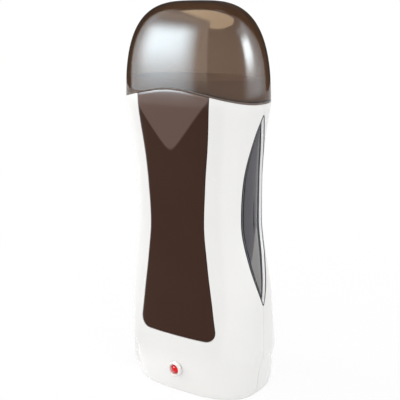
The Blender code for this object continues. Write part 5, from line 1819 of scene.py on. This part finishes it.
@dataclass
class Studio:
    """Pale floor, white surroundings, soft lamps and the camera."""

    target: Vector = field(default_factory=lambda: Vector((0.0, 0.0, 0.10)))
    cover_middle: Vector = field(default_factory=lambda: Vector((0.0, 0.0, 0.17)))
    surround: float = 0.84
    floor_size: float = 12.0
    floor_share: float = 0.86
    floor_fade: tuple[float, float] = (0.08, 0.35)
    floor_drop: float = 0.0002
    camera_place: Vector = field(default_factory=lambda: Vector((0.27876, -0.37547, 0.20752)))
    camera_yaw: float = 37.2
    camera_pitch: float = 12.99
    camera_roll: float = -0.742
    lens: float = 79.965

    def seen(self, tree: Tree) -> Socket:
        """Mask that is 1 for camera, glossy and transmission rays."""
        path = added(tree, "LightPath", {}).outputs
        looks = computed(tree, "MAXIMUM", path["Is Camera Ray"], path["Is Glossy Ray"])
        return computed(tree, "MAXIMUM", looks, path["Is Transmission Ray"])

    def surroundings(self) -> None:
        """White to what looks at it, and a plain level to what it lights."""
        world = bpy.data.worlds.new("white_surround")
        world.use_nodes = True
        tree = world.node_tree
        strength = spanned(tree, self.seen(tree), (0.0, 1.0, self.surround, 1.0))
        feed(tree, tree.nodes["Background"], {"Color": (1.0, 1.0, 1.0), "Strength": strength})
        bpy.context.scene.world = world

    def floor(self) -> None:
        """Pale floor that keeps the heater's shadow."""
        mesh = bmesh.new()
        bmesh.ops.create_grid(mesh, x_segments=1, y_segments=1, size=self.floor_size / 2)
        material = bpy.data.materials.new("studio_floor_white")
        material.use_nodes = True
        tree = material.node_tree
        shader = tree.nodes["Principled BSDF"]
        feed(tree, shader, {
            "Base Color": (0.86, 0.86, 0.86), "Roughness": 0.9, "Specular IOR Level": 0.0,
        })
        glow = added(tree, "Emission", {"Strength": 1.0})
        place = added(tree, "TexCoord", {}).outputs["Object"]
        reach = added(tree, "VectorMath", {0: place}, operation="LENGTH").outputs["Value"]
        span = spanned(tree, reach, (*self.floor_fade, self.floor_share, 1.0), "SMOOTHSTEP")
        share = computed(tree, "MULTIPLY", self.seen(tree), span)
        show_mixed(tree, share, shader.outputs["BSDF"], glow.outputs["Emission"])
        item = stored("studio_floor", mesh)
        item.data.materials.append(material)
        item.location.z = -self.floor_drop

    def lamps(self) -> None:
        """Soft lamps round the heater."""
        for box in (
            Softbox("left_softbox", -68, 20, 0.9, 0.42, 0.40, 4.5),
            Softbox("right_softbox", 62, 28, 1.0, 0.42, 0.40, 1.4),
            Softbox("overhead", 20, 72, 0.9, 0.8, 0.8, 1.1),
        ):
            box.build(self.target)

    def reflectors(self) -> None:
        """Cards that shape the reflections in the gloss."""
        cards = [
            Reflector(
                "left_card", (-76, -21), (-4.3, 36), 21.3, (0.80, 0.93, 1.0), (32, 20, 24, 16),
                lead=5.0,
            ),
            Reflector(
                "left_wide_card", (-88, -22), (-4.3, 42), 3.4, (0.84, 0.93, 1.0), (14, 8, 0, 10),
                1.45,
            ),
            Reflector(
                "crease_card", (-92, -12), (-4.3, 54), 2.5, (1.0, 0.93, 0.84), (14, 0, 8, 10), 1.6,
            ),
            Reflector("right_card", (74, 130), (-1, 43), 24.5, (0.87, 0.96, 1.0), (18, 26, 22, 17)),
            Reflector(
                "right_wide_card", (60, 153), (-5.5, 56), 3.9, (0.86, 0.94, 1.0), (38, 27, 2, 10),
                1.5,
            ),
            Reflector(
                "top_card", (-75, 125), (40, 88), 6.5, (1.0, 0.79, 0.54), (2, 4, 2, 0), 1.7,
                ((-75, 50), (-36, 44), (-14, 38), (50, 55), (125, 66)),
            ),
            Reflector("rear_flag", (148, 282), (-7, 80), 0.07, soft=(4, 4, 2, 6), distance=2.2),
            FloorCard("front_flag", (-100, 24), (0.055, 1.5), 0.08, soft=(45, 14, 0.03, 0.6)),
        ]
        for card in cards:
            card.build(self.cover_middle)

    def camera(self) -> None:
        """Camera at the photograph's viewing angle."""
        back = direction(self.camera_yaw, self.camera_pitch)
        yaw, roll = math.radians(self.camera_yaw), math.radians(self.camera_roll)
        level = Vector((math.cos(yaw), math.sin(yaw), 0.0))
        upright = back.cross(level)
        right = level * math.cos(roll) + upright * math.sin(roll)
        up = upright * math.cos(roll) - level * math.sin(roll)
        data = bpy.data.cameras.new("photograph_camera")
        data.sensor_width = 36.0
        data.lens = self.lens
        data.clip_start, data.clip_end = 0.01, 50.0
        item = bpy.data.objects.new("photograph_camera", data)
        turn = Matrix((right, up, back)).transposed().to_4x4()
        item.matrix_world = Matrix.Translation(self.camera_place) @ turn
        bpy.context.scene.collection.objects.link(item)
        bpy.context.scene.camera = item

    def build(self) -> None:
        """Make the whole studio."""
        self.surroundings()
        self.floor()
        self.lamps()
        self.reflectors()
        self.camera()
        bpy.context.scene.view_settings.view_transform = "Standard"
        log.info("studio: floor, lamps and camera")


def stock_finishes() -> dict[str, Finish]:
    """Finish of each CAD node that keeps its own mesh."""
    found = {
        "cup_cradle": FINISHES.cradle,
        "ptc_heater": FINISHES.ceramic,
        "insulator_sheet": FINISHES.mica,
        "heater_clamp": FINISHES.steel,
        "thermostat": FINISHES.steel,
        "thermal_fuse": FINISHES.tin,
        "circuit_board": FINISHES.board,
        "dropper_resistor": FINISHES.resistor,
        "rectifier_diode": FINISHES.black,
        "terminal_block": FINISHES.cradle,
        "live_lead": FINISHES.brown_wire,
        "fuse_lead": FINISHES.brown_wire,
        "neutral_lead": FINISHES.blue_wire,
        "heater_lead": FINISHES.blue_wire,
    }
    for word in ("left", "right"):
        found[f"clamp_screw_{word}"] = FINISHES.steel
        found[f"board_screw_{word}"] = FINISHES.steel
        found[f"lamp_lead_{word}"] = FINISHES.black_wire
    return found


def main() -> None:
    """Build every sub-assembly and the studio."""
    logging.basicConfig(level=logging.INFO, format="%(message)s")
    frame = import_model()
    shop = Workshop()
    panel, window, inlet, lamp = FrontPanel(), SideWindow(), MainsInlet(), Indicator()
    shells = Housings(panel, window, inlet, lamp)
    for part in (shells, Cover(), panel, window, Collar(), HeatingCup(), inlet, lamp):
        part.build(shop)
    shop.dress(frame, stock_finishes())
    Studio().build()
    bpy.context.view_layer.update()


if __name__ == "__main__":
    main()
